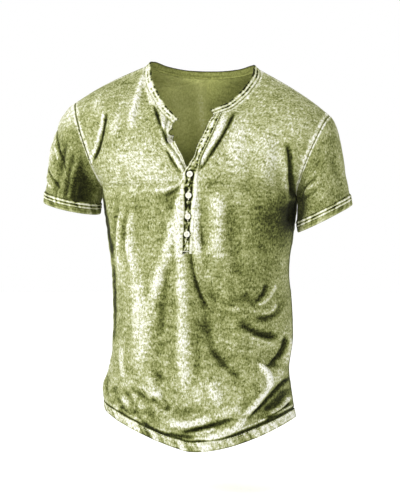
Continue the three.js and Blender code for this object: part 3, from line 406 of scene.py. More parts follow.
def sections(face, side):
    sign = armholes[side]["sign"]
    isFront = face == "front"
    outward = -1 if isFront else 1
    rows = []
    for row in trunk:
        rows.append(dict(
            inner=np.array([row["centre"] + sign * cloth["slitHalfWidth"] if isFront else 0,
                            outward * row["reachFront" if isFront else "reachBack"], row[face]], float),
            outer=np.array([sign * row[side], cloth["sideSeamY"], row[side + "Z"]], float),
            angle=180, square=row["square"], bend=row["bendLeft" if side == "left" else "bendRight"],
            wrap=1, swell=0, lift=0))
    for row in frontYoke if isFront else backYoke:
        rows.append(dict(
            inner=np.array([row[side + "X"], outward * row["reach"], row[side + "Z"]], float),
            outer=armholePoint(side, row["armhole"]),
            angle=row["armhole"], square=row["square"], bend=1,
            wrap=row["wrap"], swell=row["swell"], lift=math.radians(row["lift"])))
    return rows


def alongSection(row, across, outward):
    power = 2 / row["square"]
    end = row["wrap"] * math.pi / 2
    endDeep = max(0.0, math.cos(end)) ** power
    wide = (np.sin(across * end) / math.sin(end)) ** power
    deep = (np.maximum(0, np.cos(across * end)) ** power - endDeep) / (1 - endDeep)
    swell = row["swell"] * np.sin(np.pi * across)
    if outward > 0:  # no valley down the middle of the back
        swell = swell * softStep(across / 0.16)
    inner, outer = row["inner"], row["outer"]
    return np.stack([
        mix(inner[0], outer[0], wide),
        mix(outer[1], inner[1], deep) + outward * swell * math.cos(row["lift"]),
        mix(inner[2], outer[2], wide ** row["bend"]) + swell * math.sin(row["lift"])], -1)


def evenAcross(columns, narrow):
    usual = dict(inner=np.array([0, -118.0, 0]), outer=np.array([172.0, 0, 0]), square=2.4, bend=1, wrap=1, swell=0,
                 lift=0)
    share = np.linspace(0, 1, 501)
    line = alongSection(usual, share, -1)
    lengths = lengthsAlong(line)
    even = columns - (1 if narrow else 0)
    targets = narrow + (lengths[-1] - narrow) * np.arange(even + 1) / even
    if narrow:
        targets = np.concatenate([[0], targets])
    return np.interp(targets, lengths, share)


def sectionKnots(face):
    halves = [sections(face, side) for side in sides]
    knots = [0.0]
    for i in range(1, len(halves[0])):
        gaps = [np.linalg.norm(rows[i][end] - rows[i - 1][end]) for rows in halves for end in ("inner", "outer")]
        knots.append(knots[-1] + sum(gaps) / 4)
    return np.array(knots)


def slitBottomKnot(knots):
    i = next(i for i, row in enumerate(trunk) if row["front"] > cloth["slitBottomZ"])
    low, high = trunk[i - 1]["front"], trunk[i]["front"]
    return mix(knots[i - 1], knots[i], (cloth["slitBottomZ"] - low) / (high - low))


def rowHeights(face, knots, step):
    yoke = len(trunk)
    slit = slitBottomKnot(knots)
    if face == "front":
        middle = [slit - cloth["standBelowSlit"], slit, knots[yoke], knots[yoke + slitTopRow],
                  knots[yoke + neckCornerRow]]
    else:
        middle = [knots[yoke], knots[yoke + backNeckRow]]
    fixed = [0, cloth["hemHeight"] + 4, *middle, knots[-1]]
    heights = [0.0]
    for low, high in zip(fixed, fixed[1:]):
        pitch = 1.25 if low == 0 else step
        parts = max(1, round((high - low) / pitch))
        heights += [low + (high - low) * i / parts for i in range(1, parts + 1)]
    return np.array(heights)


def edgeAt(levels, knots, end, corner, at):  # smooth on both sides of a corner, sharp at it
    values = np.array([row[end] for row in levels])
    low = through(knots[:corner + 1], values[:corner + 1], np.minimum(at, knots[corner]))
    high = through(knots[corner:], values[corner:], np.maximum(at, knots[corner]))
    return np.where((at <= knots[corner])[:, None], low, high)


def angleAt(levels, knots, at):
    yoke = len(trunk)
    return through(knots[yoke:], np.array([row["angle"] for row in levels[yoke:]], float), at)


def foldShape(row, x, z, sharp=0.0):  # how much of a fold is felt at each place, from 0 to 1
    t = np.linspace(0, 1, 13)
    bendX = (1 - t) ** 2 * row["x0"] + 2 * t * (1 - t) * row["x1"] + t ** 2 * row["x2"]
    bendZ = (1 - t) ** 2 * row["z0"] + 2 * t * (1 - t) * row["z1"] + t ** 2 * row["z2"]
    reach = row["width"] * 2.9
    felt = np.zeros(x.shape)
    near = ((x > bendX.min() - reach) & (x < bendX.max() + reach)
            & (z > bendZ.min() - reach) & (z < bendZ.max() + reach))
    if not near.any():
        return felt
    px, pz = x[near], z[near]
    nearest = np.full(px.shape, 1e9)
    side, along = np.zeros(px.shape), np.zeros(px.shape)
    for i in range(12):
        runX, runZ = bendX[i + 1] - bendX[i], bendZ[i + 1] - bendZ[i]
        share = np.clip(((px - bendX[i]) * runX + (pz - bendZ[i]) * runZ) / (runX ** 2 + runZ ** 2), 0, 1)
        dx, dz = px - bendX[i] - share * runX, pz - bendZ[i] - share * runZ
        distance = np.hypot(dx, dz)
        closer = distance < nearest
        nearest = np.where(closer, distance, nearest)
        along = np.where(closer, (i + share) / 12, along)
        side = np.where(closer, (dx * runZ - dz * runX) / (math.hypot(runX, runZ) * np.maximum(distance, 1)), side)
    apart = np.minimum(nearest / (row["width"] * 2 * (1 + side * row.get("lean", 0))), 1)
    fade = softStep(np.minimum(along, 1 - along) / (0.3 if "lean" in row else 0.2) + 0.05)
    soft = (1 - apart ** 2) ** 3
    felt[near] = fade * mix(soft, (1 - apart) ** 2.4, sharp)
    return felt


def panelGrid(face, columns, step, narrow):
    outward = -1 if face == "front" else 1
    knots = sectionKnots(face)
    heights = rowHeights(face, knots, step)
    shares = evenAcross(columns, narrow)
    under = len(trunk)
    corner = under + (neckCornerRow if face == "front" else backNeckRow)
    halves = {}
    for side in sides:
        levels = sections(face, side)
        ends = np.array([alongSection(row, shares, outward) for row in levels])
        spots = through(knots, ends, heights)
        inner = edgeAt(levels, knots, "inner", corner, heights) - spots[:, 0]
        outer = np.where((heights <= knots[under])[:, None],
                         edgeAt(levels, knots, "outer", under, heights),
                         armholePoint(side, angleAt(levels, knots, heights))) - spots[:, -1]
        spots = (spots + inner[:, None] * ((1 - shares) ** 8)[None, :, None]
                 + outer[:, None] * (shares ** 8)[None, :, None])
        halves[side] = spots
    return dict(face=face, knots=knots, heights=heights, shares=shares, halves=halves)


def gridNormals(spots, outwardY):
    across = np.gradient(spots, axis=1)
    up = np.gradient(spots, axis=0)
    normals = unit(np.cross(across, up))
    if (normals[..., 1] * outwardY).sum() < 0:
        normals = -normals
    return normals


# Raising the folds
def dressPanel(form, folds, creases, washesAndShade, seed):
    face = form["face"]
    outward = -1 if face == "front" else 1
    heights, knots = form["heights"], form["knots"]
    top = heights[-1]
    under = knots[len(trunk)]
    startNormals = {side: gridNormals(form["halves"][side], outward) for side in sides}
    if face == "back":  # both halves of the back leave the centre line the same way
        shared = unit(startNormals["right"][:, 0] + startNormals["left"][:, 0])
        for normals in startNormals.values():
            normals[:, 0] = shared
    for side in sides:
        spots = form["halves"][side]
        normals = startNormals[side]
        x, z = spots[..., 0], spots[..., 2]
        lengths = np.cumsum(np.linalg.norm(np.diff(spots, axis=1), axis=2), axis=1)
        fromInner = np.concatenate([np.zeros((len(heights), 1)), lengths], axis=1)
        fromOuter = fromInner[:, -1:] - fromInner
        up = np.repeat(heights[:, None], spots.shape[1], axis=1)
        room = softStep(fromOuter / 26) * softStep((top - up) / 26)
        mainRoom = softStep((1 - form["shares"][None, :]) / 0.14) * softStep((top - up) / 40)
        rise = np.zeros(x.shape)
        wash = np.zeros(x.shape)
        for row in folds:
            rise += mainRoom * row["height"] * foldShape(row, x, z)
        for i, row in enumerate(creases):
            felt = foldShape(row, x, z, row["crease"])
            uneven = 1 + 0.3 * ripple(x, z, 22, seed + i)
            rise += room * 1.35 * row["height"] * felt * uneven
            wash += 1.25 * row["wash"] * felt ** 0.8 * uneven
        for row in washesAndShade:
            wash += washAndShadePatch(row, x, z)
        # small unevenness of worn jersey, drawn out sideways low down and lengthwise higher up
        rise += room * (0.55 * ripple(x, z, 26, seed + 200) + 0.4 * ripple(x, z * 2.2, 15, seed + 201)
                        + 0.22 * ripple(x * 1.6, z, 9, seed + 202))
        wash += 0.035 * ripple(x, z, 30, seed + 203) + 0.04 * ripple(x * 1.8, z * 0.5, 12, seed + 204)
        wash += 0.05 * ripple(x, z * 3.2, 11, seed + 205)
        # turned-up hem: a roll at the stitching and ropes that run across it, pale on the roll, with a painted shadow
        # line just above it and painted shade along the bottom edge
        hem = cloth["hemHeight"]
        inHem = softStep((hem + 0.6 - up) / 1.2)
        rope = ripple(x * 1.0 + up * 0.6, x * 0.0 + 40 * outward, 5.5, seed + 206)
        slow = ripple(x, x * 0.0 + 11 * outward, 24, seed + 207)
        rise += inHem * (0.75 + 0.4 * rope) - (1.1 + 0.5 * slow) * hump(up - hem, 1.7)
        wash += (0.3 + 0.22 * rope) * hump(up - hem + 3.2, 1.8)
        tight = softStep((x - 20) / 60)
        wash -= (0.85 + 0.35 * slow + 0.35 * rope + 0.3 * tight) * hump(up - hem - 0.8 - 0.5 * tight, 2.2 + 0.9 * tight)
        wash += (0.34 + 0.24 * slow + 0.3 * tight) * hump(up - hem - 5.8 - tight, 2.1)
        wash += inHem * (0.2 + 0.5 * rope + 0.15 * slow) - 0.55 * hump(up, 1.5)
        mottled = (np.exp(-((x + 112) / 52) ** 2 - ((z + 636) / 30) ** 2)
                   + 0.5 * np.exp(-((x - 20) / 60) ** 2 - ((z + 600) / 26) ** 2))
        wash += 0.26 * mottled * ripple(x + z * 0.5, z - x * 0.4, 8, seed + 210)
        # seams: a groove at the join, darkened with painted shade, and a pale, stitched ridge beside it; below the
        # armhole the side seam is darkened with painted shade too
        atArm = softStep((up - under + 6) / 12)
        dash = ripple(up, fromOuter * 0.3, 4.6, seed + 208)
        wash += atArm * ((0.46 + 0.34 * dash) * hump(fromOuter - 5, 2.8 if side == "right" else 3.4)
                         - (0.75 if side == "right" else 0.45) * hump(fromOuter, 2.3))
        rise += atArm * (0.6 * hump(fromOuter - 5, 3) - 0.4 * hump(fromOuter, 2))
        wash *= 1 - 0.8 * hump(fromOuter, 20) * softStep((-z - 320) / 40) * softStep((up - hem) / 6)
        wash -= (1 - atArm) * (0.3 * hump(fromOuter, 9) + 0.2 * hump(fromOuter, 1.8))
        wash += 0.2 * hump(top - up - 4, 2.6) - 0.2 * hump(top - up, 1.5)
        corner = knots[len(trunk) + (neckCornerRow if face == "front" else backNeckRow)]
        atNeck = softStep((up - corner + 2) / 3)
        neckDash = ripple(up, fromInner * 0.3, 4.2, seed + 209)
        if face == "front":
            wash += atNeck * ((0.36 + 0.2 * neckDash) * hump(fromInner - 4, 2.8)
                              - 0.35 * hump(fromInner, 1.5))
        if face == "front":
            slit = slitBottomKnot(knots)
            below = softStep((slit - cloth["standBelowSlit"] - up) / 4)
            wash += (1 - below) * 0.3 * hump(fromInner - 7, 3.5) * (1 - atNeck)
        form["halves"][side] = spots + normals * rise[..., None]
        form[side] = dict(wash=0.5 + 0.46 * np.tanh(wash / 0.46), fromInner=fromInner, fromOuter=fromOuter,
                          normals=gridNormals(form["halves"][side], outward))
    return form


front = dressPanel(panelGrid("front", 92, 3.0, cloth["standOnPanel"]), frontFolds, frontCreases, frontWashAndShade, 11)
back = dressPanel(panelGrid("back", 56, 4.4, 0), backFolds, backCreases, backWashAndShade, 311)
print("panels worked out")


# Meshes
def addObject(name, data):
    made = bpy.data.objects.new(name, data)
    bpy.context.scene.collection.objects.link(made)
    return made


def objectFrom(bm, name):
    mesh = bpy.data.meshes.new(name)
    bm.to_mesh(mesh)
    bm.free()
    return addObject(name, mesh)


# spots are rows by columns of places in mm, and drop says which faces are left out
def sheetMesh(name, spots, wash, uv, drop=None, closed=False, towards=None, insideWashAndShade=None):
    rows, columns = spots.shape[:2]
    bm = bmesh.new()
    bmesh.ops.create_grid(bm, x_segments=columns - 1, y_segments=rows - 1, size=1)
    mesh = bpy.data.meshes.new(name)
    bm.to_mesh(mesh)
    bm.free()
    count = len(mesh.vertices)
    co = np.zeros(count * 3)
    mesh.vertices.foreach_get("co", co)
    co = co.reshape(-1, 3)
    i = np.rint((co[:, 0] + 1) / 2 * (columns - 1)).astype(int)
    j = np.rint((co[:, 1] + 1) / 2 * (rows - 1)).astype(int)
    mesh.vertices.foreach_set("co", (spots[j, i] * mm).ravel())
    # each piece's colour value: the wash's own fading together with painted highlights and painted shade
    for key, shade in (("wash", wash), ("insideWashAndShade", wash if insideWashAndShade is None else insideWashAndShade)):
        values = np.ascontiguousarray(shade[j, i], dtype=np.float32)
        mesh.attributes.new(key, "FLOAT", "POINT").data.foreach_set("value", values)
    corners = np.zeros(len(mesh.loops), dtype=np.int32)
    mesh.loops.foreach_get("vertex_index", corners)
    mesh.uv_layers.new(name="weave").data.foreach_set(
        "uv", np.ascontiguousarray(uv[j, i][corners] * mm, dtype=np.float32).ravel())
    bm = bmesh.new()
    bm.from_mesh(mesh)
    bm.verts.ensure_lookup_table()
    if drop is not None:
        gone = [f for f in bm.faces
                if drop(min(j[v.index] for v in f.verts), sorted({int(i[v.index]) for v in f.verts}))]
        bmesh.ops.delete(bm, geom=gone, context="FACES")
    if closed or drop is not None:
        bmesh.ops.remove_doubles(bm, verts=bm.verts, dist=2e-6)
    if towards is not None:
        facing = sum((f.normal.dot(Vector(towards(f.calc_center_median()))) > 0) - 0.5 for f in bm.faces)
        if facing < 0:
            bmesh.ops.reverse_faces(bm, faces=bm.faces)
    for f in bm.faces:
        f.smooth = True
    bm.to_mesh(mesh)
    bm.free()
    return addObject(name, mesh)


def thicken(piece, thickness):  # the inside face wears the piece's last material
    wall = piece.modifiers.new("wall", "SOLIDIFY")
    wall.thickness = thickness * mm
    wall.offset = 0
    wall.material_offset = 1
    return piece


def finishPiece(piece, nodes, material, inside=None):
    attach(piece, "root")
    if nodes:
        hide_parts(*nodes)
    piece.data.materials.clear()
    piece.data.materials.append(material)
    if inside:
        piece.data.materials.append(inside)
    return piece


# Materials
class Wire:  # a socket that arithmetic can be done on
    def __init__(self, paint, socket):
        self.paint, self.socket = paint, socket

    def sum(self, kind, first, second):
        return self.paint.add("ShaderNodeMath", {"operation": kind}, {0: first, 1: second})

    def __add__(self, other): return self.sum("ADD", self, other)
    def __radd__(self, other): return self.sum("ADD", other, self)
    def __sub__(self, other): return self.sum("SUBTRACT", self, other)
    def __rsub__(self, other): return self.sum("SUBTRACT", other, self)
    def __mul__(self, other): return self.sum("MULTIPLY", self, other)
    def __rmul__(self, other): return self.sum("MULTIPLY", other, self)
    def __truediv__(self, other): return self.sum("DIVIDE", self, other)
    def __pow__(self, other): return self.sum("POWER", self, other)

    def clamped(self):
        return self.paint.add("ShaderNodeClamp", {}, {"Value": self})


class Paint:
    def __init__(self, name):
        self.material = bpy.data.materials.new(name)
        self.material.use_nodes = True
        self.tree = self.material.node_tree
        self.tree.nodes.clear()

    def add(self, kind, settings=None, inputs=None, out=0):
        node = self.tree.nodes.new(kind)
        for key, value in (settings or {}).items():
            if key == "stops":
                ramp = node.color_ramp
                while len(ramp.elements) > 1:
                    ramp.elements.remove(ramp.elements[-1])
                for n, (place, colour) in enumerate(value):
                    stop = ramp.elements[0] if n == 0 else ramp.elements.new(place)
                    stop.position = place
                    stop.color = (*colour, 1)
            else:
                setattr(node, key, value)
        for key, value in (inputs or {}).items():
            if isinstance(value, Wire):
                self.tree.links.new(value.socket, node.inputs[key])
            else:
                node.inputs[key].default_value = value
        return Wire(self, node.outputs[out])

    def noise(self, vector, scale, detail, roughness=0.5, distortion=0.0):
        return self.add("ShaderNodeTexNoise", {}, {"Vector": vector, "Scale": scale, "Detail": detail,
                                                   "Roughness": roughness, "Distortion": distortion})

    def finish(self, **inputs):
        shader = self.add("ShaderNodeBsdfPrincipled", {}, {k.replace("_", " "): v for k, v in inputs.items()})
        self.addOutput(shader)
        return self.material

    def addOutput(self, shader):
        end = self.tree.nodes.new("ShaderNodeOutputMaterial")
        self.tree.links.new(shader.socket, end.inputs["Surface"])


# the jersey's colours, from the black of painted shade through the washed green to the pale of the wash and painted
# highlights
washAndShadeColours = [
    (0.0, (0.010, 0.011, 0.003)),
    (0.14, (0.040, 0.045, 0.010)),
    (0.32, (0.150, 0.168, 0.046)),
    (0.5, (0.300, 0.318, 0.126)),
    (0.66, (0.455, 0.468, 0.258)),
    (0.82, (0.665, 0.67, 0.52)),
    (1.0, (0.88, 0.88, 0.81)),
]


# the inside faces' colours, paler than the outside's: painted light that lifts the shaded inside of the shirt
insideColoursWithPaintedLight = [
    (0.0, (0.16, 0.175, 0.045)),
    (0.35, (0.46, 0.485, 0.155)),
    (0.65, (0.66, 0.68, 0.26)),
    (1.0, (0.84, 0.85, 0.52)),
]


def jerseyPaint(name, speckle, knit, stops, lift=0.0, shade="wash"):
    paint = Paint(name)
    wash = paint.add("ShaderNodeAttribute", {"attribute_name": shade}, out="Fac")
    place = paint.add("ShaderNodeTexCoord", {}, out="Object")
    weave = paint.add("ShaderNodeUVMap", {"uv_map": "weave"})
    grain = paint.noise(place, 235.0, 4.0, 0.74)
    stretched = paint.add("ShaderNodeMapping", {}, {"Vector": weave, "Scale": (1.0, 0.42, 1.0)})
    flecks = paint.noise(stretched, 420.0, 3.0, 0.65)
    bands = paint.add("ShaderNodeMapping", {}, {"Vector": weave, "Scale": (0.35, 1.6, 1.0)})
    slubs = paint.noise(bands, 95.0, 3.0, 0.6)
    cloud = paint.noise(place, 34.0, 3.0, 0.55)
    rucked = paint.add("ShaderNodeMapping", {}, {"Vector": weave, "Scale": (0.5, 1.3, 1.0)})
    crinkle = paint.noise(rucked, 75.0, 4.0, 0.62, 0.6)
    pattern = ((grain - 0.5) * 1.45 + (flecks - 0.5) * 1.2 + (slubs - 0.5) * 0.36 + (cloud - 0.5) * 0.16
               + (crinkle - 0.5) * 0.26) * (wash * 1.1 + 0.32) * speckle  # deep hollows are plainer
    shade = (wash + pattern + lift).clamped()
    colour = paint.add("ShaderNodeValToRGB", {"stops": stops}, {"Fac": shade}, out="Color")
    wales = paint.add("ShaderNodeTexWave", {"wave_type": "BANDS", "bands_direction": "X"},
                      {"Vector": weave, "Scale": 330.0, "Distortion": 1.2, "Detail": 1.0, "Detail Scale": 3.0})
    courses = paint.add("ShaderNodeTexWave", {"wave_type": "BANDS", "bands_direction": "Y"},
                        {"Vector": weave, "Scale": 420.0, "Distortion": 1.5, "Detail": 1.0, "Detail Scale": 3.0})
    relief = wales * 0.6 + courses * 0.4 + grain * 1.2
    worn = paint.add("ShaderNodeBump", {}, {"Height": crinkle, "Strength": 0.55, "Distance": 0.004}, out="Normal")
    bump = paint.add("ShaderNodeBump", {}, {"Height": relief, "Strength": knit, "Distance": 0.0006, "Normal": worn},
                     out="Normal")
    rough = (0.96 - shade * 0.1).clamped()
    return paint.finish(Base_Color=colour, Roughness=rough, Normal=bump, Sheen_Weight=0.03, Sheen_Roughness=0.6,
                        Specular_IOR_Level=0.06)


def threadPaint():
    paint = Paint("pale_thread")
    place = paint.add("ShaderNodeTexCoord", {}, out="Object")
    patch = paint.noise(place, 160.0, 2.0)
    ply = paint.noise(place, 2600.0, 1.0)
    colour = paint.add("ShaderNodeValToRGB", {"stops": [
        (0.3, (0.52, 0.53, 0.32)), (0.55, (0.83, 0.82, 0.66)), (0.75, (0.93, 0.92, 0.84))]},
        {"Fac": patch}, out="Color")
    bump = paint.add("ShaderNodeBump", {}, {"Height": ply, "Strength": 0.4, "Distance": 0.0003}, out="Normal")
    return paint.finish(Base_Color=colour, Roughness=0.8, Normal=bump, Sheen_Weight=0.2)


def buttonPaint():
    paint = Paint("cream_resin")
    place = paint.add("ShaderNodeTexCoord", {}, out="Object")
    cloud = paint.noise(place, 420.0, 3.0)
    colour = paint.add("ShaderNodeValToRGB", {"stops": [
        (0.3, (0.72, 0.70, 0.56)), (0.6, (0.86, 0.85, 0.76)), (0.8, (0.93, 0.92, 0.86))]}, {"Fac": cloud}, out="Color")
    rough = paint.add("ShaderNodeMapRange", {}, {"Value": cloud, "To Min": 0.22, "To Max": 0.42})
    return paint.finish(Base_Color=colour, Roughness=rough, Coat_Weight=0.25, Coat_Roughness=0.15)


jersey = jerseyPaint("washed_jersey", 1.0, 0.5, washAndShadeColours)
# inside faces are lifted with paler colours as painted light; the inside of the neckband is then set darker, as painted
# shade
insideJersey = jerseyPaint("jersey_inside", 0.62, 0.5, insideColoursWithPaintedLight, -0.06, "insideWashAndShade")
insideBand = jerseyPaint("band_inside", 0.5, 0.4, insideColoursWithPaintedLight, -0.28, "insideWashAndShade")
bandJersey = jerseyPaint("washed_band", 0.65, 0.4, washAndShadeColours)
thread = threadPaint()
resin = buttonPaint()
print("materials made")


def joinHalves(form, key=None):  # the right half turned round and the left half, side by side
    if key is None:
        return np.concatenate([form["halves"]["right"][:, ::-1], form["halves"]["left"]], axis=1)
    return np.concatenate([form["right"][key][:, ::-1], form["left"][key]], axis=1)


# painted light and shade on the inside of the back where it shows through the neck: lighter by the middle at the top,
# darker to the wearer's left and lower down
insideLightAndShade = table("x z wide tall amount", [  # what shows of the back through the neck
    (-12, -85, 10, 60, 0.34),
    (-56, -90, 26, 60, 0.14),
    (50, -80, 46, 70, -0.34),
    (100, -50, 40, 60, -0.28),
    (0, -300, 400, 124, -0.62),
    (-26, -200, 60, 44, -0.3),
])


def panelPiece(form, name):
    spots = joinHalves(form)
    wash = joinHalves(form, "wash")
    insideWashAndShade = wash
    middle = form["halves"]["right"].shape[1] - 1
    # the inside of the back: the outside's values flattened, with painted light and shade added
    if name == "back":
        insideWashAndShade = 0.47 + 0.3 * (wash - 0.5)
        for row in insideLightAndShade:
            insideWashAndShade = insideWashAndShade + washAndShadePatch(row, spots[..., 0], spots[..., 2])
    apart = 5 if name == "front" else 0
    u = np.concatenate([-form["right"]["fromInner"][:, ::-1] - apart, form["left"]["fromInner"] + apart], axis=1)
    v = np.repeat(form["heights"][:, None], u.shape[1], axis=1)
    if name == "front":
        openRow = int(np.searchsorted(form["heights"], slitBottomKnot(form["knots"]) - 0.01))
    else:
        openRow = int(np.searchsorted(form["heights"], form["knots"][len(trunk) + backNeckRow] - 0.01))
    drop = lambda j, i: j >= openRow and i == [middle, middle + 1]
    outward = (0, -1, 0) if name == "front" else (0, 1, 0)
    piece = sheetMesh(name + "_cloth", spots, wash, np.stack([u, v], -1), drop=drop, towards=lambda c: outward,
                      insideWashAndShade=insideWashAndShade)
    return thicken(piece, cloth["thickness"])


frontCloth = finishPiece(panelPiece(front, "front"), ["front"], jersey, insideJersey)
backCloth = finishPiece(panelPiece(back, "back"), ["back"], jersey, insideJersey)
print("front and back made", len(frontCloth.data.polygons), len(backCloth.data.polygons))


# Neckband
neckband = {
    "thickness": 1.5,
    # across the band: rightWash is paler than leftWash, painted light on the wearer's right where the lamp falls; dark
    # marks painted shade in the grooves along the middle and at the seam
    "profile": table("across rise rightWash leftWash dark", [
        (-1.4, -0.5, 0.4, 0.3, 0), (0, 0.1, 0.5, 0.3, 0), (1.4, 0.9, 0.92, 0.82, 0), (3.0, 0.75, 0.95, 0.85, 0.1),
        (4.4, 0.35, 0.8, 0.4, 0.8), (5.6, 0.3, 0.74, 0.28, 1), (6.6, 0.3, 0.8, 0.4, 0.6), (7.6, 0.35, 0.88, 0.8, 0),
        (8.8, 0.55, 0.92, 0.86, 0), (10.0, 0.6, 0.86, 0.7, 0.3), (10.9, 0.3, 0.55, 0.34, 1), (11.9, 0.2, 0.42, 0.16, 1),
        (12.6, 0.1, 0.4, 0.1, 0.8), (13.3, -0.7, 0.3, 0.06, 0.3)]),
    "stitchRows": [2.2, 9.2],
}


def neckSeam():
    edge = lambda form, side, row: form["halves"][side][form["heights"] >= form["knots"][len(trunk) + row] - 0.01, 0]
    line = np.concatenate([
        edge(front, "right", neckCornerRow), edge(back, "right", backNeckRow)[::-1][1:],
        edge(back, "left", backNeckRow)[1:], edge(front, "left", neckCornerRow)[::-1][1:]])
    return line


def resample(line, pitch, closed=False):
    if closed:
        line = np.concatenate([line, line[:1]])
    steps = lengthsAlong(line)
    count = max(2, int(round(steps[-1] / pitch)))
    at = np.linspace(0, steps[-1], count + 1)
    if closed:
        at = at[:-1]
    return np.stack([np.interp(at, steps, line[:, k]) for k in range(3)], -1)


def smoothLine(line, times):
    for _ in range(times):
        line = np.concatenate([line[:1], (line[:-2] + 2 * line[1:-1] + line[2:]) / 4, line[-1:]])
    return line


seam = smoothLine(resample(neckSeam(), 3.0), 3)
seamRun = unit(np.gradient(seam, axis=0))
tail = np.linspace(0, cloth["standFree"], 6)[1:]
bandLine = np.concatenate([seam[0] - seamRun[0] * tail[::-1, None], seam, seam[-1] + seamRun[-1] * tail[:, None]])
bandRun = np.concatenate([np.repeat(seamRun[:1], 5, 0), seamRun, np.repeat(seamRun[-1:], 5, 0)])
roundAt = np.arctan2(bandLine[:, 0], -bandLine[:, 1])
riseEnd = np.where(np.cos(roundAt) > 0, neckbandRise["front"], neckbandRise["back"])
riseAt = np.radians(mix(neckbandRise["side"], riseEnd, np.abs(np.cos(roundAt))))
inward = np.stack([-np.sin(roundAt), np.cos(roundAt), np.zeros(len(roundAt))], -1)
bandLean = squareTo(inward * np.cos(riseAt)[:, None] + np.array([0, 0, 1.0]) * np.sin(riseAt)[:, None], bandRun)
bandOut = unit(np.cross(bandRun, bandLean))
if (bandOut * inward).sum() > 0:
    bandOut = -bandOut
acrossBand = np.linspace(neckband["profile"][0]["across"], neckband["profile"][-1]["across"], 30)
bandColumn = lambda key: readColumn(neckband["profile"], "across", key, acrossBand)
bandRise, bandDark = bandColumn("rise"), bandColumn("dark")
bandSideWashAndShade = {side: bandColumn(side + "Wash") for side in sides}
runLength = lengthsAlong(bandLine)
pucker = ripple(runLength[:, None] * 1.0, acrossBand[None, :] * 0.35, 4.4, 71)
bandSpots = (bandLine[None] + bandLean[None] * acrossBand[:, None, None]
             + bandOut[None] * (bandRise[:, None] + 0.3 * pucker.T)[..., None])
bandDash = ripple(runLength, runLength * 0 + 5, 3.4, 72)
# the wearer's right of the band takes rightWash, painted light on the lamp's side, and dark dashes of painted shade
# follow the grooves
bandWashAndShade = mix(bandSideWashAndShade["right"][:, None], bandSideWashAndShade["left"][:, None], softStep((bandLine[:, 0] + 20) / 40)[None])
bandWashAndShade = bandWashAndShade + 0.06 * pucker.T - 0.55 * bandDark[:, None] * softStep(0.4 + 1.3 * bandDash)[None]
bandWashAndShade = bandWashAndShade + 0.25 * bandDark[:, None] * softStep(0.4 - 1.6 * bandDash)[None]
# the back of the band is flattened and set darker as painted shade, with a painted shadow along its rim
atBack = softStep((-np.cos(roundAt) + 0.1) / 0.3)
backRim = 0.45 * softStep((acrossBand - 11.8) / 1.0)[:, None]
bandWashAndShade = mix(bandWashAndShade, 0.42 + 0.3 * (bandWashAndShade - 0.42) - backRim, atBack[None])
bandInsideWashAndShade = 0.44 + 0.1 * (bandWashAndShade - 0.44)
bandUv = np.stack([np.repeat(runLength[None], len(acrossBand), 0),
                   np.repeat(acrossBand[:, None], len(bandLine), 1)], -1)
neckbandCloth = sheetMesh("neckband_cloth", bandSpots, bandWashAndShade, bandUv,
                          towards=lambda c: (c.x, c.y, 0.02), insideWashAndShade=bandInsideWashAndShade)
finishPiece(thicken(neckbandCloth, neckband["thickness"]), ["neckband"], bandJersey, insideBand)
print("neckband made")


# Placket stands
placket = {
    "thickness": 1.2,
    "outside": 1.7,
    # across the stand: shutWash darkens the buttoned middle with painted shade round the buttons, and dark marks
    # painted shade in dashes inside the stitching and at the edges
    "profile": table("share rise shutWash openWash dark", [
        (0, -0.9, 0.8, 0.3, 0), (0.05, 0.1, 0.92, 0.34, 0), (0.1, 0.5, 0.98, 0.6, 0), (0.14, 0.3, 0.7, 0.56, 0.2),
        (0.19, -0.1, 0.14, 0.4, 1), (0.27, -0.1, 0.28, 0.5, 0.8), (0.42, 0, 0.42, 0.74, 0.2),
        (0.5, 0.0, 0.44, 0.82, 0.1), (0.6, 0, 0.42, 0.8, 0.2), (0.71, -0.1, 0.28, 0.66, 0.6),
        (0.79, -0.1, 0.12, 0.56, 1), (0.85, 0.3, 0.66, 0.84, 0.3), (0.9, 0.5, 0.98, 0.8, 0.4),
        (0.95, 0.2, 1.0, 0.36, 1), (1.0, -0.7, 0.9, 0.1, 1)]),
    # the curls are stitching, with painted shade in the gaps between
    "curl": 0.62,            # dark and pale curls between the buttons
    "buttonShadow": -1.0,
    "buttonZ": [-216, -254, -292, -324],  # where the stands are buttoned
}


def standGrid(side):
    form, sign = front, armholes[side]["sign"]
    other = "right" if side == "left" else "left"
    knots, heights = form["knots"], form["heights"]
    bottom = slitBottomKnot(knots) - cloth["standBelowSlit"]
    top = knots[len(trunk) + neckCornerRow]
    slitTop = knots[len(trunk) + slitTopRow]
    at = np.where((heights >= bottom - 0.01) & (heights <= top + 0.01))[0]
    own, far = form["halves"][side], form["halves"][other]
    ownNormal, farNormal = form[side]["normals"], form[other]["normals"]
    up = unit(own[at + 1, 0] - own[at - 1, 0])
    level = unit(np.cross(ownNormal[at, 0], up)) * sign
    end = bandRun[-1 if side == "left" else 0] * sign
    across = unit(mix(level, end[None], softStep(1 - (top - heights[at]) / 30)[:, None]))
    opened = softStep((heights[at] - slitTop) / 16)[:, None]
    shows = 1
    if side == "right":
        shows = mix(cloth["standFoot"], 1, softStep((heights[at] - slitTop) / cloth["standTaper"]))[:, None]
    free = lambda share, shut: mix(shut, own[at, 0] + across * share * cloth["standFree"] * shows, opened)
    places = np.stack([own[at, 1], own[at, 0], free(0.6, far[at, 0]), free(1.0, far[at, 1])], axis=1)
    normals = np.stack([ownNormal[at, 1], ownNormal[at, 0],
                        unit(mix(farNormal[at, 0], ownNormal[at, 0], opened)),
                        unit(mix(farNormal[at, 1], ownNormal[at, 0], opened))], axis=1)
    finer = np.arange(heights[at][0], heights[at][-1], 1.3)
    places, normals = (through(heights[at], v, finer) for v in (places, normals))
    return places, normals, np.linspace(0, 1, 29), finer, np.interp(finer, heights[at], opened[:, 0])


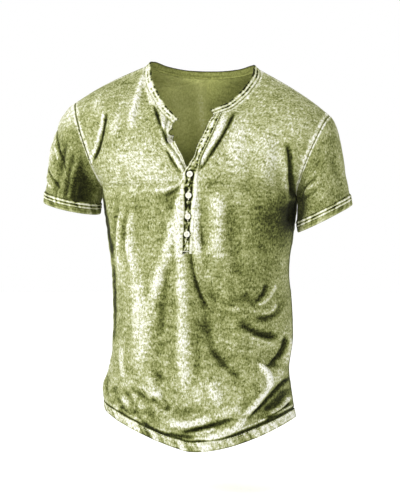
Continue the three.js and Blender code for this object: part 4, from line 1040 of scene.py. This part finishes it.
def standPiece(side):
    places, normals, share, heights, opened = standGrid(side)
    steps = np.array([0, 0.22, 0.72, 1.0])
    spots = np.stack([through(steps, row, share) for row in places])
    out = unit(np.stack([through(steps, row, share) for row in normals]))
    column = lambda key: readColumn(placket["profile"], "share", key, share)
    offset = placket["outside"] if side == "left" else -placket["outside"]
    lumps = ripple(heights[:, None] * 1.0 + share[None] * 3, share[None] * 9 + 40 * (side == "left"), 6, 91)
    dashes = ripple(heights[:, None] + 0 * share[None], share[None] * 4, 2.6, 92)
    rise = column("rise")[None, :, None] * (1 if side == "left" else 0.6)
    spots = spots + out * (offset + rise + 0.2 * lumps[..., None])
    washesAndShade = mix(column("shutWash")[None], column("openWash")[None], opened[:, None])
    washesAndShade = washesAndShade + 0.06 * lumps
    if side == "right":
        washesAndShade = washesAndShade + 0.14 * opened[:, None]
    # painted shade in dashes along the dark marks, deeper on the upper stand where it lies open
    deep = mix(0.3, 0.65 if side == "left" else 0.25, opened[:, None])
    washesAndShade = washesAndShade - deep * column("dark")[None] * softStep(0.5 - dashes * 1.2)
    if side == "left":
        curls = ripple(heights[:, None] + share[None] * 9, share[None] * 26 + heights[:, None] * 0.3, 3.4, 93)
        inColumn = softStep((share - 0.14) / 0.08) * softStep((0.86 - share) / 0.08)
        washesAndShade = washesAndShade + placket["curl"] * curls * inColumn[None] * (1 - 0.55 * opened[:, None])
        for z in placket["buttonZ"]:  # painted shadow: a dark crescent round each button where it sits on the cloth
            middle = spots[int(np.argmin(np.abs(spots[:, 14, 2] - z))), 14]
            dx, dz = spots[..., 0] - middle[0], spots[..., 2] - middle[2]
            crescent = 0.6 + 0.4 * (dx - dz) / np.maximum(np.hypot(dx, dz), 1)
            washesAndShade = washesAndShade + placket["buttonShadow"] * hump(np.hypot(dx, dz) - 6.7, 1.7) * crescent
    uv = np.stack([np.repeat(share[None] * 18, len(heights), 0), np.repeat(heights[:, None], len(share), 1)], -1)
    piece = sheetMesh("placket_upper_cloth" if side == "left" else "placket_under_cloth", spots, washesAndShade, uv,
                      towards=lambda c: (0, -1, 0))
    node = "placket_upper" if side == "left" else "placket_under"
    finishPiece(thicken(piece, placket["thickness"]), [node], bandJersey)
    return piece, spots, out, heights


upperStand, upperSpots, upperOut, standHeights = standPiece("left")
underStand, underSpots, underOut, _ = standPiece("right")
print("placket made")


# Sleeves and cuffs
# sleeve folds: the last column paints a highlight on ridges and shade in troughs, along with the wash's own fading
sleeveColumns = "turn0 along0 turn1 along1 width height crease wash"
sleeveFolds = {
    "right": table(sleeveColumns, [
        (40, 0.35, 100, 0.85, 17, -5, 0, -0.1),
        (5, 0.5, 60, 0.95, 16, 4, 0, 0.1),
        (128, 0.25, 140, 1, 22, -6, 0, -0.2),
        (300, 0.3, 230, 0.9, 18, -5, 0, -0.15),
        (2, 0.36, 82, 0.58, 3.2, -3, 0.8, -1.2),
        (4, 0.43, 60, 0.58, 3.4, 2, 0.5, 0.45),
        (0, 0.66, 76, 0.84, 3.2, -3, 0.8, -1.1),
        (2, 0.75, 60, 0.9, 3.4, 2, 0.5, 0.35),
        (66, 0.3, 64, 0.95, 6, -3, 0.4, -0.3),
        (80, 0.2, 78, 0.95, 5, 2.5, 0.4, 0.16),
        (88, 0.3, 88, 1, 5, -3.5, 0.5, -0.4),
        (97, 0.3, 96, 1, 5, 2.5, 0.4, 0.2),
        (106, 0.2, 106, 1, 6, -4, 0.5, -0.5),
        (118, 0.3, 122, 1, 10, -4, 0.4, -0.7),
        (50, 0.2, 52, 0.6, 6, 2, 0.3, 0.1),
        (14, 0.2, 8, 0.7, 9, 2, 0.2, 0.2),
        (280, 0.2, 262, 0.8, 8, 3, 0.4, 0.2),
        (262, 0.25, 246, 0.85, 7, -3, 0.4, -0.25),
        (330, 0.4, 300, 0.9, 8, -2.5, 0.3, -0.15),
    ]),
    "left": table(sleeveColumns, [
        (96, 0.25, 40, 0.62, 18, -4, 0, -0.1),
        (120, 0.4, 70, 0.85, 18, 4, 0, 0.08),
        (140, 0.25, 152, 1, 20, -5, 0, -0.15),
        (300, 0.3, 235, 0.9, 18, -5, 0, -0.15),
        (120, 0.3, 88, 0.4, 4, 2, 0.5, 0.36),
        (124, 0.38, 86, 0.48, 4, -2.2, 0.5, -0.5),
        (126, 0.46, 84, 0.56, 4, 2, 0.5, 0.34),
        (128, 0.56, 90, 0.65, 4, -2, 0.5, -0.44),
        (70, 0.3, 52, 0.7, 8, 1.8, 0.2, 0.08),
        (40, 0.3, 34, 0.9, 9, -1.8, 0.2, -0.08),
        (86, 0.6, 50, 0.9, 6, -2, 0.4, -0.12),
        (280, 0.2, 262, 0.8, 8, 3, 0.4, 0.2),
        (262, 0.25, 246, 0.85, 7, -3, 0.4, -0.25),
        (330, 0.4, 300, 0.9, 8, -2.5, 0.3, -0.15),
    ]),
}
# painted light and shade on the sleeves: paler along the top with a painted highlight at the right sleeve head, darker
# underneath
sleeveWashAndShade = {
    "right": table("turn along wide tall amount", [
        (116, 0.84, 24, 0.42, -0.5), (140, 0.6, 40, 0.5, -0.2), (15, 0.2, 40, 0.25, 0.16), (24, 0.03, 22, 0.13, 0.45),
        (75, 0.5, 30, 0.4, -0.04), (10, 0.75, 22, 0.35, 0.24)]),
    "left": table("turn along wide tall amount", [
        (130, 0.5, 30, 0.5, -0.12), (60, 0.3, 50, 0.3, -0.02), (160, 0.5, 40, 0.6, -0.2), (30, 0.7, 50, 0.4, -0.06)]),
}
cuffLook = {
    "thickness": 1.6,
    # up the cuff: pale stitched ridges with painted shade in the grooves between them and at both edges
    "profile": table("up rise wash", [
        (-0.4, -0.5, 0.2), (0.4, 0.3, 0.6), (1.8, 0.6, 0.5), (4.0, 0.5, 0.36), (7.4, 0.4, 0.4), (8.8, 0.3, 0.16),
        (10.4, 0.9, 0.84), (12.0, 0.7, 0.5), (13.4, 0.2, 0.06), (14.6, 0.3, 0.12), (16.2, 0.9, 0.88), (17.8, 0.6, 0.6),
        (19.0, -0.3, 0.06), (20.6, -1.3, 0.06)]),
    "stitchRows": [10.4, 16.2],
}


def cuffPoint(side, angle, up):
    cuff, sign = cuffs[side], armholes[side]["sign"]
    lift, lean = math.radians(cuff["lift"]), math.radians(cuff["lean"])
    angle, up = np.broadcast_arrays(np.asarray(angle, float), np.asarray(up, float))
    turn = np.radians(angle)
    base = np.stack([np.full(turn.shape, sign * cuff["x"]), cuff["y"] - cuff["deep"] * np.sin(turn),
                     cuff["z"] - cuff["sag"] * np.sin(turn)], -1)
    outer = np.array([sign * math.cos(lift), 0, math.sin(lift)])
    axis = np.array([-sign * math.sin(lean), 0, math.cos(lean)])
    return base + outer * (cuff["across"] * np.cos(turn))[..., None] + axis * up[..., None]


def sleevePoint(side, angle, along):
    angle, t = np.broadcast_arrays(np.asarray(angle, float), np.asarray(along, float))
    sign, hole = armholes[side]["sign"], armholes[side]
    turn = np.radians(angle)
    under = ((1 - np.cos(turn)) / 2) ** 2
    start = armholePoint(side, angle)
    end = cuffPoint(side, angle, cloth["cuffHeight"] - 1.0)
    drop = np.radians(mix(hole["drop"], 44, under))
    leave = unit(np.stack([sign * np.cos(drop), -0.32 * np.sin(turn), -np.sin(drop)], -1))
    hub = (cuffPoint(side, 0, 0) + cuffPoint(side, 180, 0)) / 2
    outward = unit(cuffPoint(side, angle, 0) - hub)
    arrive = unit(unit(cuffPoint(side, angle, 0) - end) + outward * 0.16)
    around = unit(armholePoint(side, angle + 1) - armholePoint(side, angle - 1))
    start = start + squareTo(leave, around) * (-cloth["underSeam"] + cloth["underarmEase"] * under)[..., None]
    end = end - outward * cloth["cuffProud"]
    reach = np.linalg.norm(start - end, axis=-1)
    t = t[..., None]
    return (start * (2 * t ** 3 - 3 * t ** 2 + 1)
            + leave * (reach * mix(hole["full"], 0.4, under))[..., None] * (t ** 3 - 2 * t ** 2 + t)
            + end * (3 * t ** 2 - 2 * t ** 3) + arrive * (reach * 0.8)[..., None] * (t ** 3 - t ** 2))


def sleeveFelt(row, angle, along):
    length = 165
    runAngle, runAlong = row["turn1"] - row["turn0"], (row["along1"] - row["along0"]) * length
    dx = (angle - row["turn0"] + 540) % 360 - 180
    dz = (along - row["along0"]) * length
    share = np.clip((dx * runAngle + dz * runAlong) / (runAngle ** 2 + runAlong ** 2), 0, 1)
    near = np.minimum(np.hypot(dx - share * runAngle, dz - share * runAlong) / (row["width"] * 1.8), 1)
    soft = (1 - near ** 2) ** 3
    return mix(soft, (1 - near) ** 2.4, row["crease"]) * softStep(np.minimum(share, 1 - share) / 0.25 + 0.3)


def tubeNormals(spots, centre):
    around = (np.roll(spots, -1, axis=1) - np.roll(spots, 1, axis=1))
    down = np.gradient(spots, axis=0)
    normals = unit(np.cross(around, down))
    if ((spots - centre[:, None]) * normals).sum() < 0:
        normals = -normals
    return normals


def closeRing(values):
    return np.concatenate([values, values[:, :1]], axis=1)


def sleevePiece(side):
    angles = np.arange(0, 360, 2.6)
    alongs = np.concatenate([np.linspace(0, 0.08, 8), np.linspace(0.08, 1, 56)[1:]])
    angle, along = np.meshgrid(angles, alongs)
    spots = sleevePoint(side, angle, along)
    normals = tubeNormals(spots, spots.mean(1))
    rise, wash = np.zeros(angle.shape), np.full(angle.shape, 0.5)
    room = softStep(along / 0.2) * softStep((1 - along) / 0.12)
    seed = 500 if side == "right" else 700
    for i, row in enumerate(sleeveFolds[side]):
        felt = sleeveFelt(row, angle, along)
        rise += room * row["height"] * felt
        wash += 0.8 * row["wash"] * felt * (1 + 0.3 * ripple(angle, along * 165, 18, seed + i))
    for row in sleeveWashAndShade[side]:  # turned the short way round
        off = (angle - row["turn"] + 540) % 360 - 180
        wash += row["amount"] * np.exp(-(off / row["wide"]) ** 2 - ((along - row["along"]) / row["tall"]) ** 2)
    rise += room * (0.5 * ripple(spots[..., 0], spots[..., 2], 22, seed + 60)
                    + 0.3 * ripple(spots[..., 2], spots[..., 1], 11, seed + 61))
    wash += 0.07 * ripple(spots[..., 1], spots[..., 2], 20, seed + 62)
    wash = 0.5 + 0.44 * np.tanh((wash - 0.5) / 0.44)
    # the armhole seam: a pale stitched strip beside a groove darkened with painted shade; the join with the cuff is
    # darkened the same way
    fromSeam = along * 150
    dash = ripple(angle * 1.4, fromSeam * 0.3, 4.6, seed + 63)
    wash += (0.34 if side == "right" else 0.5) * (1 + dash) * hump(fromSeam - 4.5, 2.8)
    wash -= (0.7 if side == "right" else 0.4) * hump(fromSeam, 1.9)
    rise += 0.6 * hump(fromSeam - 4.5, 3)
    wash -= 0.35 * hump((1 - along) * 150 - 1, 2.2)
    spots = spots + normals * rise[..., None]
    normals = tubeNormals(spots, spots.mean(1))
    uv = np.stack([np.concatenate([angles, [360]])[None] + 0 * along[:, :1], closeRing(along) * 165], -1)
    hub = Vector(spots.mean((0, 1)) * mm)
    piece = sheetMesh(f"sleeve_{side}_cloth", closeRing(spots), closeRing(wash), uv, closed=True,
                      towards=lambda c: c - hub)
    finishPiece(thicken(piece, cloth["thickness"]), [f"sleeve_{side}"], jersey, insideJersey)
    return piece, spots, normals


def cuffPiece(side):
    angles = np.arange(0, 360, 2.0)
    ups = np.linspace(cuffLook["profile"][0]["up"], cuffLook["profile"][-1]["up"], 34)
    angle, up = np.meshgrid(angles, ups)
    spots = cuffPoint(side, angle, up)
    centre = spots.mean(1)
    normals = tubeNormals(spots, centre)
    rise, wash = (readColumn(cuffLook["profile"], "up", key, ups)[:, None] for key in ("rise", "wash"))
    lumps = ripple(angle * 1.05 + up * 0.5, up * 0.5, 5.5, 800 if side == "right" else 820)
    waves = ripple(angle, up * 0.2, 34, 840)
    spots = spots + normals * (rise + 0.3 * lumps + 0.6 * waves - 0.4)[..., None]
    washesAndShade = wash + (0.14 + 0.2 * softStep((up - 7.5) / 2)) * lumps + 0.08 * waves
    uv = np.stack([np.concatenate([angles, [360]])[None] + 0 * up[:, :1], closeRing(up)], -1)
    hub = Vector(spots.mean((0, 1)) * mm)
    piece = sheetMesh(f"cuff_{side}_cloth", closeRing(spots), closeRing(washesAndShade), uv, closed=True,
                      towards=lambda c: c - hub)
    finishPiece(thicken(piece, cuffLook["thickness"]), [f"cuff_{side}"], bandJersey)
    return piece, spots, normals, ups


sleeveCloth = {side: sleevePiece(side) for side in sides}
cuffCloth = {side: cuffPiece(side) for side in sides}
print("sleeves and cuffs made")


# Stitching
stitch = {"pitch": 4.6, "length": 3.3, "width": 0.95, "proud": 0.5}


def stitchSpots(line, normals, closed=False):  # places, directions and normals at even steps along a sewn line
    if closed:
        line, normals = np.concatenate([line, line[:1]]), np.concatenate([normals, normals[:1]])
    steps = lengthsAlong(line)
    at = np.arange(stitch["pitch"] / 2, steps[-1], stitch["pitch"])
    pick = lambda values, where: np.stack([np.interp(where, steps, values[:, k]) for k in range(3)], -1)
    spots = pick(line, at)
    run = unit(pick(line, np.minimum(at + 1, steps[-1])) - pick(line, np.maximum(at - 1, 0)))
    return spots, run, unit(pick(normals, at))


def axesAt(x, y, z, centre):  # a matrix from three directions and a place
    return Matrix((*((x[k], y[k], z[k], centre[k]) for k in range(3)), (0, 0, 0, 1)))


def stitchPiece(name, lines, lift):
    bm = bmesh.new()
    for n, (line, normals, closed) in enumerate(lines):
        spots, run, out = stitchSpots(line, normals, closed)
        out = squareTo(out, run)
        side = np.cross(out, run)
        sway = ripple(np.arange(len(spots)) * 3.1, np.full(len(spots), n * 7.0), 2.0, 940 + n)
        for p, r, o, s, w in zip(spots, run, out, side, sway):
            centre = (p + o * lift + s * w * 0.25) * mm
            size = Matrix.Diagonal((stitch["length"] / 2000, stitch["width"] / 2000, stitch["proud"] / 1000, 1))
            bmesh.ops.create_icosphere(bm, subdivisions=1, radius=1, matrix=axesAt(r, s, o, centre) @ size)
    for f in bm.faces:
        f.smooth = True
    return finishPiece(objectFrom(bm, name), [], thread)


def rowAt(form, side, height):  # the panel's line at a height up the cloth
    heights = form["heights"]
    k = int(np.clip(np.searchsorted(heights, height), 1, len(heights) - 1))
    t = (height - heights[k - 1]) / (heights[k] - heights[k - 1])
    return mix(form["halves"][side][k - 1], form["halves"][side][k], t), form[side]["normals"][k]


def inFrom(form, side, distance, key, low, high):  # the line at a distance from an edge, between two heights
    rows = np.where((form["heights"] >= low) & (form["heights"] <= high))[0]
    far = form[side][key]
    line, out = [], []
    for j in rows:
        order = np.argsort(far[j])
        line.append([np.interp(distance, far[j][order], form["halves"][side][j][order, k]) for k in range(3)])
        out.append([np.interp(distance, far[j][order], form[side]["normals"][j][order, k]) for k in range(3)])
    return np.array(line), np.array(out), False


hemLines = []
for form in (front, back):
    for height in (cloth["hemHeight"] - 2.2, cloth["hemHeight"] - 6.0):
        (right, rightOut), (left, leftOut) = rowAt(form, "right", height), rowAt(form, "left", height)
        hemLines.append((np.concatenate([right[::-1], left]), np.concatenate([rightOut[::-1], leftOut]), False))
stitchPiece("hem_stitches", hemLines, cloth["thickness"] / 2)

armLines = []
for side in sides:
    for form in (front, back):
        top = form["heights"][-1]
        under = form["knots"][len(trunk)]
        armLines.append(inFrom(form, side, 4.6, "fromOuter", under, top - 2))
        shoulder, shoulderOut = rowAt(form, side, top - 4.2)
        armLines.append((shoulder, shoulderOut, False))
    _, spots, normals = sleeveCloth[side]
    row = 3
    armLines.append((spots[row], normals[row], True))
stitchPiece("seam_stitches", armLines, cloth["thickness"] / 2)

cuffLines = []
for side in sides:
    _, spots, normals, ups = cuffCloth[side]
    for height in cuffLook["stitchRows"]:
        k = int(np.argmin(np.abs(ups - height)))
        cuffLines.append((spots[k], normals[k], True))
stitchPiece("cuff_stitches", cuffLines, cuffLook["thickness"] / 2)

neckLines = []
for across in neckband["stitchRows"]:
    k = int(np.argmin(np.abs(acrossBand - across)))
    neckLines.append((bandSpots[k], bandOut, False))
for side in sides:
    for form, row in ((front, neckCornerRow), (back, backNeckRow)):
        corner = form["knots"][len(trunk) + row]
        neckLines.append(inFrom(form, side, 4.0, "fromInner", corner + 1, form["heights"][-1]))
stitchPiece("neck_stitches", neckLines, 0.8)

placketLines = []
for k in (3, 25):
    placketLines.append((upperSpots[:, k], upperOut[:, k], False))
openRows = standHeights > front["knots"][len(trunk) + slitTopRow]
for k in (3, 25):
    placketLines.append((underSpots[openRows][:, k], underOut[openRows][:, k], False))
stitchPiece("placket_stitches", placketLines, placket["thickness"] / 2)
print("stitches sewn")


# Buttons and buttonholes
button = {
    "radius": 5.5,
    "thickness": 2.0,
    "holeRadius": 0.72,
    "holeSpacing": 2.5,
    "openZ": -155,
}


def onStand(spots, out, z, share):
    line = spots[:, int(round(share * (spots.shape[1] - 1)))]
    outLine = out[:, int(round(share * (out.shape[1] - 1)))]
    order = np.argsort(line[:, 2])
    place = np.array([np.interp(z, line[order, 2], line[order, k]) for k in range(3)])
    normal = unit(np.array([np.interp(z, line[order, 2], outLine[order, k]) for k in range(3)]))
    return place, normal


inMetres = Matrix.Scale(mm, 4)


def standingOn(place, normal, lift):  # a frame whose Z leaves the cloth and whose Y runs up it
    up = squareTo(np.array([0, 0, 1.0]), normal)
    side = np.cross(up, normal)
    centre = (place + normal * lift) * mm
    return axesAt(side, up, normal, centre)


def buttonMesh(name, place, normal, lift):
    bm = bmesh.new()
    edges = []
    rings = [(0, 0, button["radius"] * 0.74, 40)]
    rings += [(x * button["holeSpacing"] / 2, y * button["holeSpacing"] / 2, button["holeRadius"], 10)
              for x, y in ((1, 1), (-1, 1), (-1, -1), (1, -1))]
    for x, y, radius, count in rings:
        made = bmesh.ops.create_circle(bm, segments=count, radius=radius, matrix=Matrix.Translation((x, y, 0)))
        edges += list({e for v in made["verts"] for e in v.link_edges})
    filled = bmesh.ops.triangle_fill(bm, use_beauty=True, edges=edges, normal=(0, 0, 1))
    faces = [f for f in filled["geom"] if isinstance(f, bmesh.types.BMFace)]
    # triangle_fill may also cover the holes, so faces inside one are taken away
    inHole = [f for f in faces if any((f.calc_center_median().xy - Vector((x, y))).length < radius * 0.9
                                      for x, y, radius, _ in rings[1:])]
    if inHole:
        bmesh.ops.delete(bm, geom=inHole, context="FACES_ONLY")
    plate = [f for f in bm.faces]
    bmesh.ops.transform(bm, matrix=Matrix.Translation((0, 0, button["thickness"] * 0.2)), verts=bm.verts)
    raised = bmesh.ops.extrude_face_region(bm, geom=plate)
    top = [v for v in raised["geom"] if isinstance(v, bmesh.types.BMVert)]
    bmesh.ops.translate(bm, vec=(0, 0, button["thickness"] * 0.45), verts=top)
    bmesh.ops.recalc_face_normals(bm, faces=bm.faces)
    # the raised rim: a rounded section spun once round
    t = button["thickness"]
    section = [(0.70, 0.16), (0.72, 0.66), (0.78, 0.92), (0.86, 1.0), (0.93, 0.94), (0.985, 0.72), (1.0, 0.45),
               (0.97, 0.2), (0.9, 0.05), (0.8, 0.02)]
    rim = [bm.verts.new((r * button["radius"], 0, h * t)) for r, h in section]
    loop = [bm.edges.new((rim[i], rim[(i + 1) % len(rim)])) for i in range(len(rim))]
    bmesh.ops.spin(bm, geom=rim + loop, cent=(0, 0, 0), axis=(0, 0, 1), angle=2 * math.pi, steps=44, use_merge=True)
    bmesh.ops.recalc_face_normals(bm, faces=bm.faces)
    for f in bm.faces:
        f.smooth = len(f.verts) == 4 and f.calc_center_median().xy.length > button["radius"] * 0.71
    bmesh.ops.transform(bm, matrix=standingOn(place, normal, lift) @ inMetres, verts=bm.verts)
    return objectFrom(bm, name)


def threadCross(bm, place, normal, lift):
    spread = button["holeSpacing"] / 2
    top = standingOn(place, normal, lift + button["thickness"] * 0.72)
    for turn in (45, 135):
        bar = (top @ Matrix.Rotation(math.radians(turn), 4, "Z") @ inMetres
               @ Matrix.Diagonal((spread * 1.75, 0.42, 0.34, 1)))
        bmesh.ops.create_icosphere(bm, subdivisions=2, radius=1, matrix=bar)
    shank = (standingOn(place, normal, lift * 0.3) @ inMetres @ Matrix.Diagonal((1.5, 1.5, lift * 0.8 + 0.6, 1)))
    bmesh.ops.create_icosphere(bm, subdivisions=2, radius=1, matrix=shank)


def buttonhole(bm, place, normal, tall):  # a ring of close stitches round a slit that runs up the stand
    base = standingOn(place, normal, placket["thickness"] / 2 + 0.2)
    count = 34
    for i in range(count):
        turn = 2 * math.pi * i / count
        x, y = 1.35 * math.cos(turn), tall / 2 * math.sin(turn)
        aim = math.atan2(math.sin(turn) * 1.0, math.cos(turn) * 1.6)
        bar = (base @ inMetres @ Matrix.Translation((x, y, 0)) @ Matrix.Rotation(aim, 4, "Z")
               @ Matrix.Diagonal((0.95, 0.36, 0.4, 1)))
        bmesh.ops.create_icosphere(bm, subdivisions=1, radius=1, matrix=bar)


buttonLift = placket["thickness"] / 2 + 0.7
threadWork = bmesh.new()
for i, z in enumerate(placket["buttonZ"]):
    place, normal = onStand(upperSpots, upperOut, z, 0.5)
    finishPiece(buttonMesh(f"button_{i + 2}_resin", place, normal, buttonLift), [f"button_{i + 2}"], resin)
    threadCross(threadWork, place, normal, buttonLift)
    buttonhole(threadWork, place, normal, 15)
place, normal = onStand(underSpots, underOut, button["openZ"], 0.55)
finishPiece(buttonMesh("button_1_resin", place, normal, buttonLift), ["button_1"], resin)
threadCross(threadWork, place, normal, buttonLift)
place, normal = onStand(upperSpots, upperOut, -150, 0.5)
buttonhole(threadWork, place, normal, 14)
place, normal = onStand(upperSpots, upperOut, -355, 0.5)
for k in range(-4, 5):  # bar tack across the foot of the placket
    bar = (standingOn(place, normal, placket["thickness"] / 2 + 0.3) @ inMetres
           @ Matrix.Translation((k * 1.5, 0, 0)) @ Matrix.Diagonal((0.5, 1.5, 0.5, 1)))
    bmesh.ops.create_icosphere(threadWork, subdivisions=1, radius=1, matrix=bar)
for f in threadWork.faces:
    f.smooth = True
finishPiece(objectFrom(threadWork, "button_thread"), [], thread)
print("buttons made")


# What each cloth piece was cut to
def flatArea(piece):
    return sum(f.area for f in piece.data.polygons)


for piece, flat, held, rests in (
        (frontCloth, (0.60, 0.735), "hung", "neckband_cloth"),
        (backCloth, (0.58, 0.745), "hung", "neckband_cloth"),
        (neckbandCloth, (0.50, 0.0175), "stretched", "front_cloth"),
        (upperStand, (0.019, 0.255), "folded", "front_cloth"),
        (underStand, (0.019, 0.255), "folded", "front_cloth"),
        (sleeveCloth["right"][0], (0.46, 0.20), "hung", "front_cloth"),
        (sleeveCloth["left"][0], (0.46, 0.20), "hung", "front_cloth"),
        (cuffCloth["right"][0], (0.365, 0.021), "folded", "sleeve_right_cloth"),
        (cuffCloth["left"][0], (0.365, 0.021), "folded", "sleeve_left_cloth")):
    area = flatArea(piece)
    print(piece.name, "area", round(area, 5), "of", round(flat[0] * flat[1], 5))
    min(area, flat[0] * flat[1])

# Floor, light and camera
studio = {"floorZ": -0.80, "azimuth": 9.5, "distance": 3.2, "centreZ": -0.3525, "lens": 123.2,
          "ambient": 0.66}


def plainPaint(name, colour, glow):
    paint = Paint(name)
    return paint.finish(Base_Color=(*colour, 1), Roughness=0.9, Emission_Color=(1, 1, 1, 1), Emission_Strength=glow)


bm = bmesh.new()
bmesh.ops.create_grid(bm, x_segments=1, y_segments=1, size=14, matrix=Matrix.Translation((0, 0, studio["floorZ"])))
floor = objectFrom(bm, "floor")
floor.data.materials.append(plainPaint("pale_floor", (0.85, 0.85, 0.85), 0.6))

world = bpy.data.worlds.new("studio")
bpy.context.scene.world = world
world.use_nodes = True
sky = world.node_tree
sky.nodes["Background"].inputs["Color"].default_value = (1, 1, 1, 1)
rays = sky.nodes.new("ShaderNodeLightPath")
level = sky.nodes.new("ShaderNodeMapRange")  # white where it is seen, softer as light
level.inputs["To Min"].default_value = studio["ambient"]
level.inputs["To Max"].default_value = 1.0
sky.links.new(rays.outputs["Is Camera Ray"], level.inputs["Value"])
sky.links.new(level.outputs["Result"], sky.nodes["Background"].inputs["Strength"])


def areaLight(name, place, aim, size, power):
    data = bpy.data.lights.new(name, "AREA")
    data.shape = "DISK"
    data.size = size
    data.energy = power
    lamp = addObject(name, data)
    lamp.location = place
    lamp.rotation_euler = (Vector(aim) - Vector(place)).to_track_quat("-Z", "Y").to_euler()


areaLight("key", (-1.9, -1.6, 0.9), (0, 0, -0.3), 0.6, 34)
areaLight("fill", (1.7, -2.4, 0.8), (0, 0, -0.35), 1.2, 5)
areaLight("overhead", (0.2, -1.5, 1.5), (0, 0, -0.1), 0.8, 12)

turn = math.radians(studio["azimuth"])
camera = addObject("camera", bpy.data.cameras.new("camera"))
camera.data.lens = studio["lens"]
camera.location = (math.sin(turn) * studio["distance"], -math.cos(turn) * studio["distance"], studio["centreZ"])
camera.rotation_euler = (math.pi / 2, 0, turn)
bpy.context.scene.camera = camera
bpy.context.scene.view_settings.view_transform = "Standard"

bpy.context.view_layer.update()
print("scene ready")
